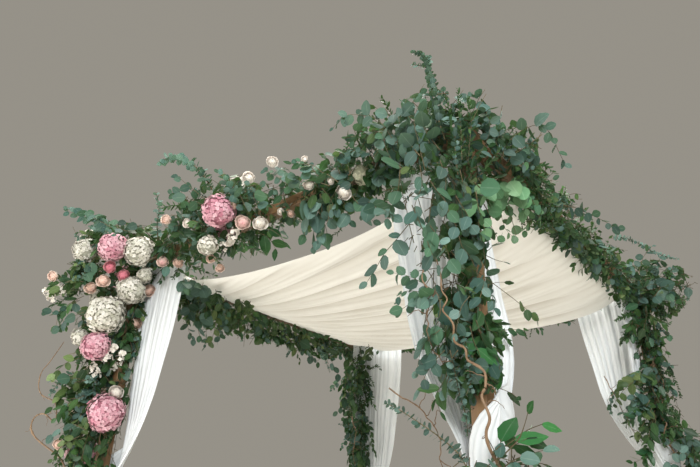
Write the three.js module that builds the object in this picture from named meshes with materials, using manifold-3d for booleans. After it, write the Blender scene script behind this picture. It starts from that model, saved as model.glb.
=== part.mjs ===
// A wedding canopy: a square timber frame on four steel feet, with a cloth slung between the side
// beams, a tied drape at each post, and cut greenery, flowers and willow rods wired to the timber.
// Millimetres. X runs to the right, Y to the back and Z up. The origin is on the floor in the middle.
import * as THREE from 'three';
import { mergeVertices } from 'three/addons/utils/BufferGeometryUtils.js';
import Module from 'manifold-3d';

const wasm = await Module();
wasm.setup();

const HALF = 1220; // from the middle of the canopy to a post's centre line, along X and along Y
const TIMBER = 64; // posts and beams are square in section
const BEAM_TOP = 2440;
const BEAM_UNDER = BEAM_TOP - TIMBER;
const GAP = 0.3; // between pieces that touch without flat faces
const SOFT_GAP = 0.8; // between the folds of a drape and the greenery laid over them
const REACH = 1620; // how far the greenery stands out from the middle, on every side
const PLATE = { side: 360, thick: 10 };
const SOCKET = { wall: 6, high: 130 };

const CLOTH = { thick: 8, pinnedHalf: 1150, freeHalf: 1000, sag: 118, steepness: 3.2, drop: 95 };
const DRAPE = { thick: 10, tieRadius: 66, hemRadius: 200, hemHigh: 16, pinned: 2376, top: 2410 };
const TIED_AT = { front_left: 930, front_right: 1050, back_right: 1150, back_left: 900 };
const TIE = { wide: 44, thick: 9 };

const PAINT = {
  timber: { color: 0xb9824e, roughness: 0.55, metalness: 0 },
  steel: { color: 0x4a4a4c, roughness: 0.5, metalness: 0.8 },
  chiffon: { color: 0xf3eee2, roughness: 0.9, metalness: 0 },
  ribbon: { color: 0xf6f2ea, roughness: 0.6, metalness: 0 },
  leaves: { color: 0x5f7d68, roughness: 0.7, metalness: 0 },
  flowers: { color: 0xe9c3c0, roughness: 0.8, metalness: 0 },
  willow: { color: 0xb08a5a, roughness: 0.7, metalness: 0 },
};

const CORNERS = {
  front_left: [-1, -1],
  front_right: [1, -1],
  back_right: [1, 1],
  back_left: [-1, 1],
};

const canopy = new THREE.Group();

function add(name, geometry, paint, x = 0, y = 0, z = 0) {
  const mesh = new THREE.Mesh(geometry, new THREE.MeshStandardMaterial(PAINT[paint]));
  mesh.name = name;
  mesh.position.set(x, y, z);
  canopy.add(mesh);
}

// A closed shape with its shared corners merged, each moved by a rule.
function reshape(geometry, rule) {
  geometry.deleteAttribute('normal');
  geometry.deleteAttribute('uv');
  const merged = mergeVertices(geometry);
  const place = merged.attributes.position;
  const point = new THREE.Vector3();
  for (let i = 0; i < place.count; i += 1) {
    point.fromBufferAttribute(place, i);
    const moved = rule(point);
    place.setXYZ(i, moved.x, moved.y, moved.z);
  }
  return merged;
}

function toSolid(geometry) {
  const merged = reshape(geometry.clone(), (point) => point);
  return new wasm.Manifold(new wasm.Mesh({
    numProp: 3,
    vertProperties: new Float32Array(merged.attributes.position.array),
    triVerts: new Uint32Array(merged.index.array),
  }));
}

function toGeometry(solid) {
  const mesh = solid.getMesh();
  const geometry = new THREE.BufferGeometry();
  geometry.setAttribute('position', new THREE.BufferAttribute(mesh.vertProperties, 3));
  geometry.setIndex(new THREE.BufferAttribute(mesh.triVerts, 1));
  return geometry;
}

// What is left of a shape after others are cut away from it, without the crumbs.
function cutAway(geometry, others) {
  let solid = toSolid(geometry);
  for (const other of others) {
    solid = solid.subtract(other);
  }
  const pieces = solid.decompose();
  pieces.sort((a, b) => b.volume() - a.volume());
  return toGeometry(pieces[0]);
}

function block(x, y, z, grow = 0) {
  const wide = x[1] - x[0] + 2 * grow;
  const deep = y[1] - y[0] + 2 * grow;
  const high = z[1] - z[0] + 2 * grow;
  const shape = new THREE.BoxGeometry(wide, deep, high);
  return shape.translate((x[0] + x[1]) / 2, (y[0] + y[1]) / 2, (z[0] + z[1]) / 2);
}

// A sheet with a thickness: a grid of points on each face, split along the same diagonals, and a
// rim that joins them. The rule gives a point from its column, its row and its face, -1 or 1.
function sheetShape(columns, rows, rule) {
  const points = [];
  const corners = [];
  const spot = (i, j, face) => 2 * (j * (columns + 1) + i) + (face > 0 ? 1 : 0);
  const quad = (a, b, c, d) => corners.push(a, b, c, a, c, d);
  for (let j = 0; j <= rows; j += 1) {
    for (let i = 0; i <= columns; i += 1) {
      points.push(...rule(i, j, -1).toArray(), ...rule(i, j, 1).toArray());
    }
  }
  for (let j = 0; j < rows; j += 1) {
    for (let i = 0; i < columns; i += 1) {
      quad(spot(i, j, 1), spot(i + 1, j, 1), spot(i + 1, j + 1, 1), spot(i, j + 1, 1));
      corners.push(spot(i, j, -1), spot(i + 1, j + 1, -1), spot(i + 1, j, -1));
      corners.push(spot(i, j, -1), spot(i, j + 1, -1), spot(i + 1, j + 1, -1));
    }
  }
  for (let i = 0; i < columns; i += 1) {
    quad(spot(i, 0, -1), spot(i + 1, 0, -1), spot(i + 1, 0, 1), spot(i, 0, 1));
    quad(spot(i, rows, 1), spot(i + 1, rows, 1), spot(i + 1, rows, -1), spot(i, rows, -1));
  }
  for (let j = 0; j < rows; j += 1) {
    quad(spot(0, j, 1), spot(0, j + 1, 1), spot(0, j + 1, -1), spot(0, j, -1));
    quad(spot(columns, j, -1), spot(columns, j + 1, -1), spot(columns, j + 1, 1), spot(columns, j, 1));
  }
  const geometry = new THREE.BufferGeometry();
  geometry.setAttribute('position', new THREE.Float32BufferAttribute(points, 3));
  geometry.setIndex(corners);
  return geometry;
}

// A straight line through [value, result] pairs, level past both ends.
function along(pairs, value) {
  const last = pairs.length - 1;
  if (value <= pairs[0][0]) {
    return pairs[0][1];
  }
  for (let i = 0; i < last; i += 1) {
    const [from, low] = pairs[i];
    const [to, high] = pairs[i + 1];
    if (value <= to) {
      return low + ((high - low) * (value - from)) / (to - from);
    }
  }
  return pairs[last][1];
}

// Timber frame: posts stand in the feet, the side beams lie on the posts from front to back, and
// the front and back beams are screwed between them.
const SECTION = TIMBER / 2;
const timber = [];

function addTimber(name, x, y, z) {
  add(name, block(x, y, z), 'timber');
  timber.push(toSolid(block(x, y, z, GAP)));
}

for (const [corner, [sx, sy]] of Object.entries(CORNERS)) {
  const x = [sx * HALF - SECTION, sx * HALF + SECTION];
  const y = [sy * HALF - SECTION, sy * HALF + SECTION];
  addTimber(`${corner}_post`, x, y, [PLATE.thick, BEAM_UNDER]);
}
for (const [side, sx] of [['left', -1], ['right', 1]]) {
  const x = [sx * HALF - SECTION, sx * HALF + SECTION];
  addTimber(`${side}_beam`, x, [-HALF - SECTION, HALF + SECTION], [BEAM_UNDER, BEAM_TOP]);
}
for (const [side, sy] of [['front', -1], ['back', 1]]) {
  const y = [sy * HALF - SECTION, sy * HALF + SECTION];
  addTimber(`${side}_beam`, [-HALF + SECTION, HALF - SECTION], y, [BEAM_UNDER, BEAM_TOP]);
}

// Feet: a flat steel plate with a square socket that the post drops into.
function footShape() {
  const half = PLATE.side / 2;
  const inner = SECTION + GAP;
  const outer = inner + SOCKET.wall;
  const socketTop = PLATE.thick + SOCKET.high;
  const plate = toSolid(block([-half, half], [-half, half], [0, PLATE.thick]));
  const socket = toSolid(block([-outer, outer], [-outer, outer], [PLATE.thick / 2, socketTop]));
  const well = toSolid(block([-inner, inner], [-inner, inner], [PLATE.thick, socketTop + 1]));
  return toGeometry(plate.add(socket).subtract(well));
}

for (const [corner, [sx, sy]] of Object.entries(CORNERS)) {
  add(`${corner}_foot`, footShape(), 'steel', sx * HALF, sy * HALF);
}

// Canopy cloth: one length of chiffon laid over both side beams. It drops down their inner faces and
// hangs in swags that fan out from the left. Its front and back edges are free, so they pull in.
const CLOTH_INNER = HALF - SECTION - 2; // where it leaves the beams
const CLOTH_EDGE = HALF + SECTION;
const CLOTH_GRID = { across: 24, along: 54 };
const CLOTH_TURN = { edge: 40, corner: 9, from: 0.7, over: 0.13 }; // how sharply it drops at a beam
const CLOTH_LEAN = { tip: 15, fall: 20 }; // the sag grows to the right and to the front
const SWAG = {
  count: 7, deep: 54, level: 19, keen: 1.5, fade: 0.45, hem: 0.16,
  fanFrom: -2050, fanLine: -0.3, evenFrom: 500,
  wander: { by: 0.03, x: 1.6, v: 2.4, start: 0.4 },
  strength: { by: 0.3, x: 0.8, v: 3.1, start: 2 }, middling: 0.8,
};

function ease(value) {
  const t = Math.min(Math.max(value, 0), 1);
  return t * t * (3 - 2 * t);
}

// A slow wave over the cloth, from its swing and its turns per metre across and along.
function slowWave(wave, x, v) {
  return wave.by * Math.sin((wave.x * x) / 1000 + wave.v * v + wave.start);
}

// How far the swags lift a point of the cloth, x millimetres across and v from -1 to 1 along.
function swagHeight(x, v, out) {
  const spread = (SWAG.evenFrom - SWAG.fanFrom) / (Math.min(x, SWAG.evenFrom) - SWAG.fanFrom);
  const fan = SWAG.fanLine + (v - SWAG.fanLine) * spread;
  const line = fan + slowWave(SWAG.wander, x, v);
  const swag = (1 - Math.abs(Math.sin((line * SWAG.count * Math.PI) / 2))) ** SWAG.keen;
  const strong = SWAG.middling + slowWave(SWAG.strength, x, v);
  const slack = ease((1 - out) / SWAG.fade) * ease((1 - Math.abs(v)) / SWAG.hem);
  return (SWAG.deep * swag - SWAG.level) * strong * slack;
}

function clothHeight(x, v) {
  const out = Math.min(Math.abs(x) / CLOTH_INNER, 1);
  const near = ease((Math.abs(v) - CLOTH_TURN.from) / CLOTH_TURN.over);
  const turn = CLOTH_TURN.edge + (CLOTH_TURN.corner - CLOTH_TURN.edge) * near;
  const sag = CLOTH.sag + CLOTH_LEAN.tip * (x / 1000) - CLOTH_LEAN.fall * v;
  const low = sag * (1 - out ** CLOTH.steepness) + CLOTH.drop * (1 - out ** turn);
  return BEAM_TOP + GAP + CLOTH.thick / 2 - low + swagHeight(x, v, out);
}

function clothShape(grow) {
  const middle = CLOTH_GRID.across / 2;
  return sheetShape(CLOTH_GRID.across, CLOTH_GRID.along, (i, j, face) => {
    const step = Math.abs(i - middle);
    const inner = (step / (middle - 1)) * CLOTH_INNER;
    const out = step === middle ? CLOTH_EDGE + grow : inner;
    const x = Math.sign(i - middle) * out;
    const pull = (out / CLOTH_EDGE) ** 2;
    const wide = CLOTH.freeHalf + (CLOTH.pinnedHalf - CLOTH.freeHalf) * pull + grow;
    const v = (2 * j) / CLOTH_GRID.along - 1;
    return new THREE.Vector3(x, v * wide, clothHeight(x, v) + face * (CLOTH.thick / 2 + grow));
  });
}

add('canopy_cloth', clothShape(0), 'chiffon');
const cloth = toSolid(clothShape(GAP));

// Corner drapes: chiffon hung on the inner faces of two beams, gathered round the post by a ribbon
// and flared again below it. The panels pair a height over the ribbon with the distance that the edge
// keeps there from the post's centre line, along the front or back beam and along the side beam.
const FRONT_PANEL = [
  [30, DRAPE.tieRadius], [140, 105], [210, 158], [345, 235], [445, 285], [610, 335], [800, 365],
  [1000, 400], [1250, 430], [1500, 440],
];
const SIDE_PANEL = [
  [30, DRAPE.tieRadius], [110, 110], [200, 185], [300, 268], [380, 322], [490, 365], [580, 358],
  [710, 325], [860, 288], [960, 264], [1500, 250],
];
const GATHER = [[30, 1], [110, 0.8], [210, 0.55], [345, 0.34], [600, 0.14], [950, 0]];
const FLARE = [[0.035, DRAPE.tieRadius], [0.09, 84], [0.23, 115], [0.55, 165], [1, DRAPE.hemRadius]];
const PLEAT = [[-900, 26], [-250, 12], [-40, 0], [150, 0], [420, 12], [900, 8], [1220, 0]];
const ROWS_BELOW = [0, 0.36, 0.72, 0.9]; // shares of the height from the hem to the ribbon
const ROWS_ABOVE = [-30, 30, 90, 150, 225, 300, 380, 490, 650, 900];
const DRAPE_STEPS = 12;
const RIPPLE = 1.9; // how far a pleat's wave turns from one column of the drape to the next
const WRAP = 20; // how many degrees each edge passes the post where the cloth is drawn in

function drapeRows(tie) {
  return [
    ...ROWS_BELOW.map((share) => DRAPE.hemHigh + share * (tie - DRAPE.hemHigh)),
    ...ROWS_ABOVE.map((up) => tie + up), DRAPE.pinned, DRAPE.top,
  ];
}

function drapePath(s, up, tie) {
  const near = SECTION + GAP + DRAPE.thick / 2;
  const flare = along(FLARE, -up / (tie - DRAPE.hemHigh));
  const wide = up < 0 ? flare : along(FRONT_PANEL, up);
  const deep = up < 0 ? flare : along(SIDE_PANEL, up);
  const out = Math.abs(2 * s - 1);
  const hung = s < 0.5
    ? new THREE.Vector2(near + (wide - near) * out, near)
    : new THREE.Vector2(near, near + (deep - near) * out);
  const drawn = along(GATHER, up);
  const angle = THREE.MathUtils.degToRad(90 * s + WRAP * drawn * (2 * s - 1));
  const round = new THREE.Vector2(wide * Math.cos(angle), deep * Math.sin(angle));
  return hung.lerp(round, drawn);
}

function drapeShape(sx, sy, tie, grow) {
  const heights = drapeRows(tie);
  const rows = heights.length - 1;
  const shape = sheetShape(DRAPE_STEPS, rows, (i, j, face) => {
    const s = i / DRAPE_STEPS;
    const z = heights[j];
    const up = z - tie;
    const edge = (j === 0 ? -grow : 0) + (j === rows ? grow : 0);
    const ahead = drapePath(Math.min(s + 0.01, 1), up, tie);
    ahead.sub(drapePath(Math.max(s - 0.01, 0), up, tie)).normalize();
    const pleat = Math.abs(along(PLEAT, up) * Math.sin(RIPPLE * i));
    const offset = pleat + face * (DRAPE.thick / 2 + grow);
    const spot = drapePath(s, up, tie);
    const past = (i === 0 ? -grow : 0) + (i === DRAPE_STEPS ? grow : 0);
    const u = spot.x + ahead.y * offset + ahead.x * past;
    const v = spot.y - ahead.x * offset + ahead.y * past;
    return new THREE.Vector3(sx * (HALF - u), sy * (HALF - v), z + edge);
  });
  if (sx * sy < 0) {
    turnFaces(shape);
  }
  return shape;
}

// Faces the other way, for a shape that a mirrored rule has turned inside out.
function turnFaces(geometry) {
  const corners = geometry.index.array;
  for (let i = 0; i < corners.length; i += 3) {
    [corners[i + 1], corners[i + 2]] = [corners[i + 2], corners[i + 1]];
  }
}

const drapes = {};
for (const [corner, [sx, sy]] of Object.entries(CORNERS)) {
  add(`${corner}_drape`, drapeShape(sx, sy, TIED_AT[corner], 0), 'chiffon');
  drapes[corner] = toSolid(drapeShape(sx, sy, TIED_AT[corner], SOFT_GAP));
}

// Ties: a band of ribbon round the drape and the post.
const TIE_SIDES = 24;

function tieShape(grow) {
  const drapeOuter = DRAPE.tieRadius + DRAPE.thick / 2;
  const inner = drapeOuter / Math.cos(Math.PI / TIE_SIDES) + GAP - grow;
  const outer = inner + TIE.thick + 2 * grow;
  const half = TIE.wide / 2 + grow;
  const profile = [[inner, -half], [outer, -half], [outer, half], [inner, half], [inner, -half]];
  const ring = new THREE.LatheGeometry(profile.map(([r, h]) => new THREE.Vector2(r, h)), TIE_SIDES);
  return reshape(ring.rotateX(Math.PI / 2), (point) => point);
}

const ties = {};
for (const [corner, [sx, sy]] of Object.entries(CORNERS)) {
  const place = [sx * HALF, sy * HALF, TIED_AT[corner]];
  add(`${corner}_tie`, tieShape(0), 'ribbon', ...place);
  ties[corner] = toSolid(tieShape(GAP).translate(...place));
}

// Willow rods: crooked dry stems that start in the greenery on each post and twist out of it.
const WILLOW = { radius: 6, sides: 5, steps: 44 };
const WILLOW_ROUTES = {
  front_left: [
    [-1330, -1330, 1060], [-1400, -1380, 1190], [-1560, -1490, 1310], [-1585, -1510, 1400],
    [-1540, -1480, 1440], [-1480, -1430, 1400], [-1500, -1440, 1500], [-1590, -1500, 1560],
    [-1600, -1530, 1660], [-1570, -1500, 1760], [-1520, -1470, 1880],
  ],
  front_right: [
    [1330, -1330, 1040], [1336, -1420, 1101], [1338, -1440, 1144], [1358, -1450, 1182],
    [1339, -1450, 1241], [1349, -1440, 1284], [1336, -1430, 1331], [1294, -1440, 1369],
    [1290, -1450, 1402], [1247, -1440, 1440], [1249, -1450, 1491], [1217, -1450, 1547],
    [1227, -1440, 1586], [1214, -1450, 1618], [1219, -1460, 1672], [1197, -1450, 1745],
    [1180, -1430, 1810],
  ],
  back_right: [
    [1280, 1130, 1340], [1279, 1040, 1385], [1264, 1020, 1448], [1291, 1010, 1500],
    [1268, 1015, 1543], [1289, 1020, 1602], [1286, 1020, 1657], [1300, 1015, 1683],
    [1318, 1020, 1730], [1310, 1070, 1790],
  ],
  back_left: [
    [-1330, 1330, 1240], [-1360, 1340, 1320], [-1420, 1370, 1400], [-1380, 1390, 1500],
    [-1430, 1360, 1600], [-1400, 1400, 1720],
  ],
};

function willowShape(route, grow) {
  const points = route.map(([x, y, z]) => new THREE.Vector3(x, y, z));
  const path = new THREE.CatmullRomCurve3(points, false, 'centripetal');
  const section = new THREE.Shape();
  for (let i = 0; i < WILLOW.sides; i += 1) {
    const angle = (2 * Math.PI * i) / WILLOW.sides;
    const radius = WILLOW.radius + grow;
    section[i === 0 ? 'moveTo' : 'lineTo'](radius * Math.cos(angle), radius * Math.sin(angle));
  }
  return new THREE.ExtrudeGeometry(section, { steps: WILLOW.steps, extrudePath: path });
}

const willows = {};
for (const [corner, route] of Object.entries(WILLOW_ROUTES)) {
  add(`${corner}_willow`, willowShape(route, 0), 'willow');
  willows[corner] = toSolid(willowShape(route, 2 * GAP));
}

// Greenery and flowers: lumpy masses wired round the timber. Each is cut back from the timber, the
// cloth, the ribbons and the rods that it covers, and from the masses made before it.
const LUMPS = [[2, 7, 0.10], [3, -11, 0.12], [5, 19, 0.07]];
const masses = [];

function lump(angle, run, seed) {
  let total = 1;
  for (const [turns, waves, size] of LUMPS) {
    total += size * Math.sin(turns * angle + waves * run + seed * (turns + 0.7));
  }
  return total;
}

function held(point, grow) {
  const limit = REACH + grow;
  point.x = Math.min(Math.max(point.x, -limit), limit);
  point.y = Math.min(Math.max(point.y, -limit), limit);
  return point;
}

// A garland follows [x, y, z, radius] stations, with closed, narrower ends.
function garlandShape(stations, seed, grow) {
  const steps = 2 * (stations.length - 1);
  const centre = new THREE.CatmullRomCurve3(stations.map(([x, y, z]) => new THREE.Vector3(x, y, z)));
  const radii = new THREE.SplineCurve(stations.map((station, i) => new THREE.Vector2(i, station[3])));
  const sleeve = new THREE.CylinderGeometry(1, 1, 2, 9, steps);
  return reshape(sleeve, (point) => {
    const run = (point.y + 1) / 2;
    const ahead = centre.getTangent(run);
    const upright = Math.abs(ahead.z) > 0.7 ? new THREE.Vector3(0, 1, 0) : new THREE.Vector3(0, 0, 1);
    const side = new THREE.Vector3().crossVectors(ahead, upright).normalize();
    const up = new THREE.Vector3().crossVectors(side, ahead);
    const angle = Math.atan2(point.z, point.x);
    const end = run === 0 || run === 1 ? 0.55 : 1;
    const radius = radii.getPoint(run).y * end * lump(angle, run, seed) + grow;
    const spread = Math.hypot(point.x, point.z) * radius;
    const past = (run === 0 ? -grow : 0) + (run === 1 ? grow : 0);
    const spot = centre.getPoint(run).addScaledVector(ahead, past);
    spot.addScaledVector(side, spread * Math.cos(angle)).addScaledVector(up, spread * Math.sin(angle));
    return held(spot, grow);
  });
}

// A bouquet is a lumpy ball: its centre, and its half sizes along X, Y and Z.
function bouquetShape([x, y, z], [wide, deep, high], seed, grow) {
  return reshape(new THREE.SphereGeometry(1, 12, 8), (point) => {
    const swell = lump(Math.atan2(point.y, point.x), point.z, seed);
    const spot = new THREE.Vector3(x, y, z);
    spot.x += point.x * (wide * swell + grow);
    spot.y += point.y * (deep * swell + grow);
    spot.z += point.z * (high * swell + grow);
    return held(spot, grow);
  });
}

function addMass(name, paint, make, corners) {
  const near = corners.flatMap((corner) => [drapes[corner], ties[corner], willows[corner]]);
  add(name, cutAway(make(0), [...timber, cloth, ...near, ...masses]), paint);
  masses.push(toSolid(make(GAP)));
}

const BOUQUETS = [
  ['front_left_bouquet', 'flowers', [-1310, -1310, 2430], [350, 330, 300], 1.0],
  ['back_right_bouquet', 'leaves', [1315, 1300, 2450], [330, 300, 200], 3.0],
  ['back_left_bouquet', 'leaves', [-1330, 1330, 2470], [300, 300, 160], 4.0],
];
for (const [name, paint, centre, half, seed] of BOUQUETS) {
  const corner = name.replace('_bouquet', '');
  addMass(name, paint, (grow) => bouquetShape(centre, half, seed, grow), [corner]);
}

// The fullest one bends round its corner, from the front beam to the right beam.
const CORNER_BEND = [
  [620, -1290, 2480, 100], [850, -1300, 2490, 150], [1080, -1300, 2470, 145], [1250, -1270, 2410, 135],
  [1290, -1080, 2410, 115], [1290, -850, 2430, 125], [1270, -650, 2420, 95],
];
addMass('front_right_bouquet', 'leaves', (grow) => garlandShape(CORNER_BEND, 2, grow), ['front_right']);

const POST_GARLANDS = {
  front_left: [
    [-1370, -1340, 2180, 225], [-1320, -1310, 1900, 185], [-1290, -1290, 1650, 150],
    [-1310, -1290, 1440, 190], [-1290, -1280, 1200, 150], [-1260, -1260, 1010, 70],
  ],
  front_right: [
    [1160, -1330, 2280, 230], [1120, -1340, 1990, 190], [1130, -1320, 1750, 165],
    [1170, -1290, 1560, 140], [1190, -1290, 1390, 120], [1240, -1270, 1230, 80],
    [1285, -1270, 1080, 160], [1250, -1290, 880, 80],
  ],
  back_right: [
    [1250, 1250, 2290, 120], [1240, 1190, 2120, 140], [1250, 1220, 1960, 75],
    [1240, 1190, 1760, 145], [1250, 1200, 1600, 150], [1300, 1220, 1400, 145],
    [1270, 1240, 1150, 80],
  ],
  back_left: [
    [-1260, 1290, 2300, 110], [-1270, 1280, 2080, 120], [-1260, 1290, 1880, 95],
    [-1270, 1280, 1620, 110], [-1290, 1290, 1440, 140], [-1260, 1260, 1150, 80],
  ],
};
for (const [corner, stations] of Object.entries(POST_GARLANDS)) {
  const paint = corner === 'front_left' ? 'flowers' : 'leaves';
  addMass(`${corner}_post_garland`, paint, (grow) => garlandShape(stations, 5, grow), [corner]);
}

addMass('front_beam_bouquet', 'flowers', (grow) => (
  bouquetShape([-250, -1320, 2440], [390, 200, 235], 6.0, grow)), []);
const SPIRE = [[1115, -1270, 2600, 75], [1085, -1265, 2770, 55], [1040, -1260, 2940, 28]];
addMass('front_right_spray', 'leaves', (grow) => garlandShape(SPIRE, 7, grow), []);

const BEAM_GARLANDS = {
  front: [
    [-1080, -1240, 2430, 120], [-700, -1240, 2440, 130], [-300, -1240, 2430, 120],
    [60, -1240, 2420, 80], [380, -1240, 2400, 120], [700, -1240, 2390, 180],
  ],
  right: [
    [1240, -1080, 2400, 150], [1250, -650, 2390, 135], [1240, 0, 2410, 100], [1240, 600, 2420, 95],
    [1240, 1080, 2420, 110],
  ],
  back: [
    [1080, 1240, 2440, 95], [600, 1240, 2425, 85], [0, 1240, 2425, 80], [-600, 1240, 2415, 85],
    [-1080, 1240, 2420, 100],
  ],
  left: [
    [-1240, 1080, 2380, 105], [-1240, 600, 2340, 125], [-1240, 150, 2320, 125],
    [-1240, -450, 2300, 160], [-1250, -1030, 2320, 165],
  ],
};
const ALL_CORNERS = Object.keys(CORNERS);
for (const [side, stations] of Object.entries(BEAM_GARLANDS)) {
  addMass(`${side}_beam_garland`, 'leaves', (grow) => garlandShape(stations, 8, grow), ALL_CORNERS);
}

export default canopy;
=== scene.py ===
import math

import bpy
import numpy as np
from mathutils import Matrix, Vector
from mathutils.bvhtree import BVHTree


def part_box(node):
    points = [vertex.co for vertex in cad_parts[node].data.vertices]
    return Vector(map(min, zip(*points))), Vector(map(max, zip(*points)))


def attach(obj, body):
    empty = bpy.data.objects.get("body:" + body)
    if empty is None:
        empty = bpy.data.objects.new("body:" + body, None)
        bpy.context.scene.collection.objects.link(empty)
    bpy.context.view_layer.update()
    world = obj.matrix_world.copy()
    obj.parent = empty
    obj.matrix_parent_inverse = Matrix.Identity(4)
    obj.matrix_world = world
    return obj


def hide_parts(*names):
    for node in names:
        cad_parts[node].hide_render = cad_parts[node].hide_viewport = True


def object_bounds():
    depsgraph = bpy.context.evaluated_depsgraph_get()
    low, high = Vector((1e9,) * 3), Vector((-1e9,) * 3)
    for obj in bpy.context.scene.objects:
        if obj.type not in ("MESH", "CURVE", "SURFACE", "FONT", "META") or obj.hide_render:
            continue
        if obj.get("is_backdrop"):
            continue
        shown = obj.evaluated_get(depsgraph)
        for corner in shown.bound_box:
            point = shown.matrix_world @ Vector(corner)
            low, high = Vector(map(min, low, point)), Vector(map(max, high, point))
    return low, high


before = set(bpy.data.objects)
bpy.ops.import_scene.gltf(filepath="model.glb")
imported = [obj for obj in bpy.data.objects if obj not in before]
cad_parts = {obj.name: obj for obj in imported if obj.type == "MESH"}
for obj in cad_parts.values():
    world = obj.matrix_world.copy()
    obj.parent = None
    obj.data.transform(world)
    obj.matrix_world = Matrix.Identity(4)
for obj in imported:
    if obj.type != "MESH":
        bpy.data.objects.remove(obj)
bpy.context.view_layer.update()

# Camera: it stands low and close by the front right post and looks up across the canopy to the
# back left, a little over to one side. The numbers come from the four beam corners in the photo.
EYE = Vector((2.20, -3.11, 0.878))
HEADING = math.radians(-40.3)
TILT = math.radians(26.5)
LEAN = math.radians(1.78)
PHOTO = {"wide": 700, "high": 467, "focal": 591}
SENSOR = 36.0

look = Vector((math.sin(HEADING) * math.cos(TILT), math.cos(HEADING) * math.cos(TILT), math.sin(TILT)))
level = Vector((math.cos(HEADING), -math.sin(HEADING), 0))
upright = level.cross(look)
look_right = level * math.cos(LEAN) + upright * math.sin(LEAN)
look_up = upright * math.cos(LEAN) - level * math.sin(LEAN)

bpy.ops.object.camera_add(location=EYE)
camera = bpy.context.object
camera.name = "photo_view"
camera.rotation_euler = Matrix((look_right, look_up, -look)).transposed().to_euler()
camera.data.sensor_width = SENSOR
camera.data.lens = PHOTO["focal"] / PHOTO["wide"] * SENSOR
bpy.context.scene.camera = camera


def sight(photo_x, photo_y):
    """The line of sight through a point of the photo: it gains 1 m of depth for each step."""
    across = (photo_x - PHOTO["wide"] / 2) / PHOTO["focal"]
    down = (photo_y - PHOTO["high"] / 2) / PHOTO["focal"]
    return look + look_right * across - look_up * down


# Studio: a plain pale floor and large soft lights all round, so that the cloth glows evenly and
# the greenery keeps some shade between its leaves.
def deselect():
    if bpy.context.object and bpy.context.object.mode != "OBJECT":
        bpy.ops.object.mode_set(mode="OBJECT")
    bpy.ops.object.select_all(action="DESELECT")


FLOOR_WIDE = 60
deselect()
bpy.ops.mesh.primitive_plane_add(size=FLOOR_WIDE)
floor = bpy.context.object
floor.name = "studio_floor"
floor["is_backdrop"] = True


class Wire:
    """A shader socket that can stand in a sum: each operator adds its Math node."""

    def __init__(self, tree, socket):
        self.tree, self.socket = tree, socket

    def math(self, operation, left, right):
        node = self.tree.nodes.new("ShaderNodeMath")
        node.operation = operation
        for slot, value in zip(node.inputs, (left, right)):
            join(self.tree, slot, value)
        return Wire(self.tree, node.outputs[0])

    def __add__(self, other):
        return self.math("ADD", self, other)

    def __sub__(self, other):
        return self.math("SUBTRACT", self, other)

    def __rsub__(self, other):
        return self.math("SUBTRACT", other, self)

    def __mul__(self, other):
        return self.math("MULTIPLY", self, other)

    def __pow__(self, other):
        return self.math("POWER", self, other)

    def __abs__(self):
        return self.math("ABSOLUTE", self, None)

    __radd__ = __add__
    __rmul__ = __mul__


def join(tree, slot, value):
    if isinstance(value, Wire):
        tree.links.new(value.socket, slot)
    elif value is not None:
        slot.default_value = value


class Finish:
    """One material. make() adds a node from its type, its settings and its sockets' values."""

    def __init__(self, name, **surface):
        self.material = bpy.data.materials.new(name)
        self.material.use_nodes = True
        self.tree = self.material.node_tree
        self.tree.nodes.clear()
        self.output = self.tree.nodes.new("ShaderNodeOutputMaterial")
        self.surface = self.make("BsdfPrincipled", {}, {}, "BSDF")
        self.set(**surface)
        self.show(self.surface)

    def make(self, kind, settings, sockets, output=0):
        node = self.tree.nodes.new("ShaderNode" + kind)
        for name, value in settings.items():
            if name == "stops":
                for i, (place, colour) in enumerate(value):
                    stops = node.color_ramp.elements
                    stop = stops[i] if i < 2 else stops.new(place)
                    stop.position, stop.color = place, (*colour, 1)
            else:
                setattr(node, name, value)
        for name, value in sockets.items():
            join(self.tree, node.inputs[name], value)
        return Wire(self.tree, node.outputs[output])

    def set(self, **sockets):
        for name, value in sockets.items():
            join(self.tree, self.surface.socket.node.inputs[name.replace("_", " ")], value)

    def show(self, shader):
        self.tree.links.new(shader.socket, self.output.inputs["Surface"])

    def let_through(self, colour, share):
        """Lets a share of the light through from behind."""
        through = self.make("BsdfTranslucent", {}, {"Color": (*colour, 1)})
        self.show(self.make("MixShader", {}, {0: share, 1: self.surface, 2: through}))

    def place(self, stretch=(1, 1, 1)):
        spot = self.make("TexCoord", {}, {}, "Object")
        return self.make("Mapping", {}, {"Vector": spot, "Scale": stretch})

    def place_on_cut(self, stretch):
        """A place on the piece's own flat map."""
        spot = self.make("UVMap", {"uv_map": "cut"}, {})
        return self.make("Mapping", {}, {"Vector": spot, "Scale": stretch})

    def tone(self, name):
        return self.make("Attribute", {"attribute_name": name}, {}, "Fac")

    def own_colour(self):
        return self.make("Attribute", {"attribute_name": "own_colour"}, {}, "Color")

    def noise(self, where, scale, detail=3, rough=0.5):
        return self.make("TexNoise", {}, {
            "Vector": where, "Scale": scale, "Detail": detail, "Roughness": rough}, "Fac")

    def ramp(self, value, *stops):
        return self.make("ValToRGB", {"stops": stops}, {"Fac": value}, "Color")

    def blend(self, amount, below, above, way="MIX"):
        node = self.tree.nodes.new("ShaderNodeMix")
        node.data_type, node.blend_type = "RGBA", way
        for i, value in ((0, amount), (6, below), (7, above)):
            join(self.tree, node.inputs[i], (*value, 1) if isinstance(value, tuple) else value)
        return Wire(self.tree, node.outputs[2])

    def bump(self, height, strength, distance):
        return self.make("Bump", {}, {"Height": height, "Strength": strength, "Distance": distance})


floor_finish = Finish("pale_floor", Roughness=0.9, Base_Color=(0.80, 0.76, 0.70, 1))
floor.data.materials.append(floor_finish.material)

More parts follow.
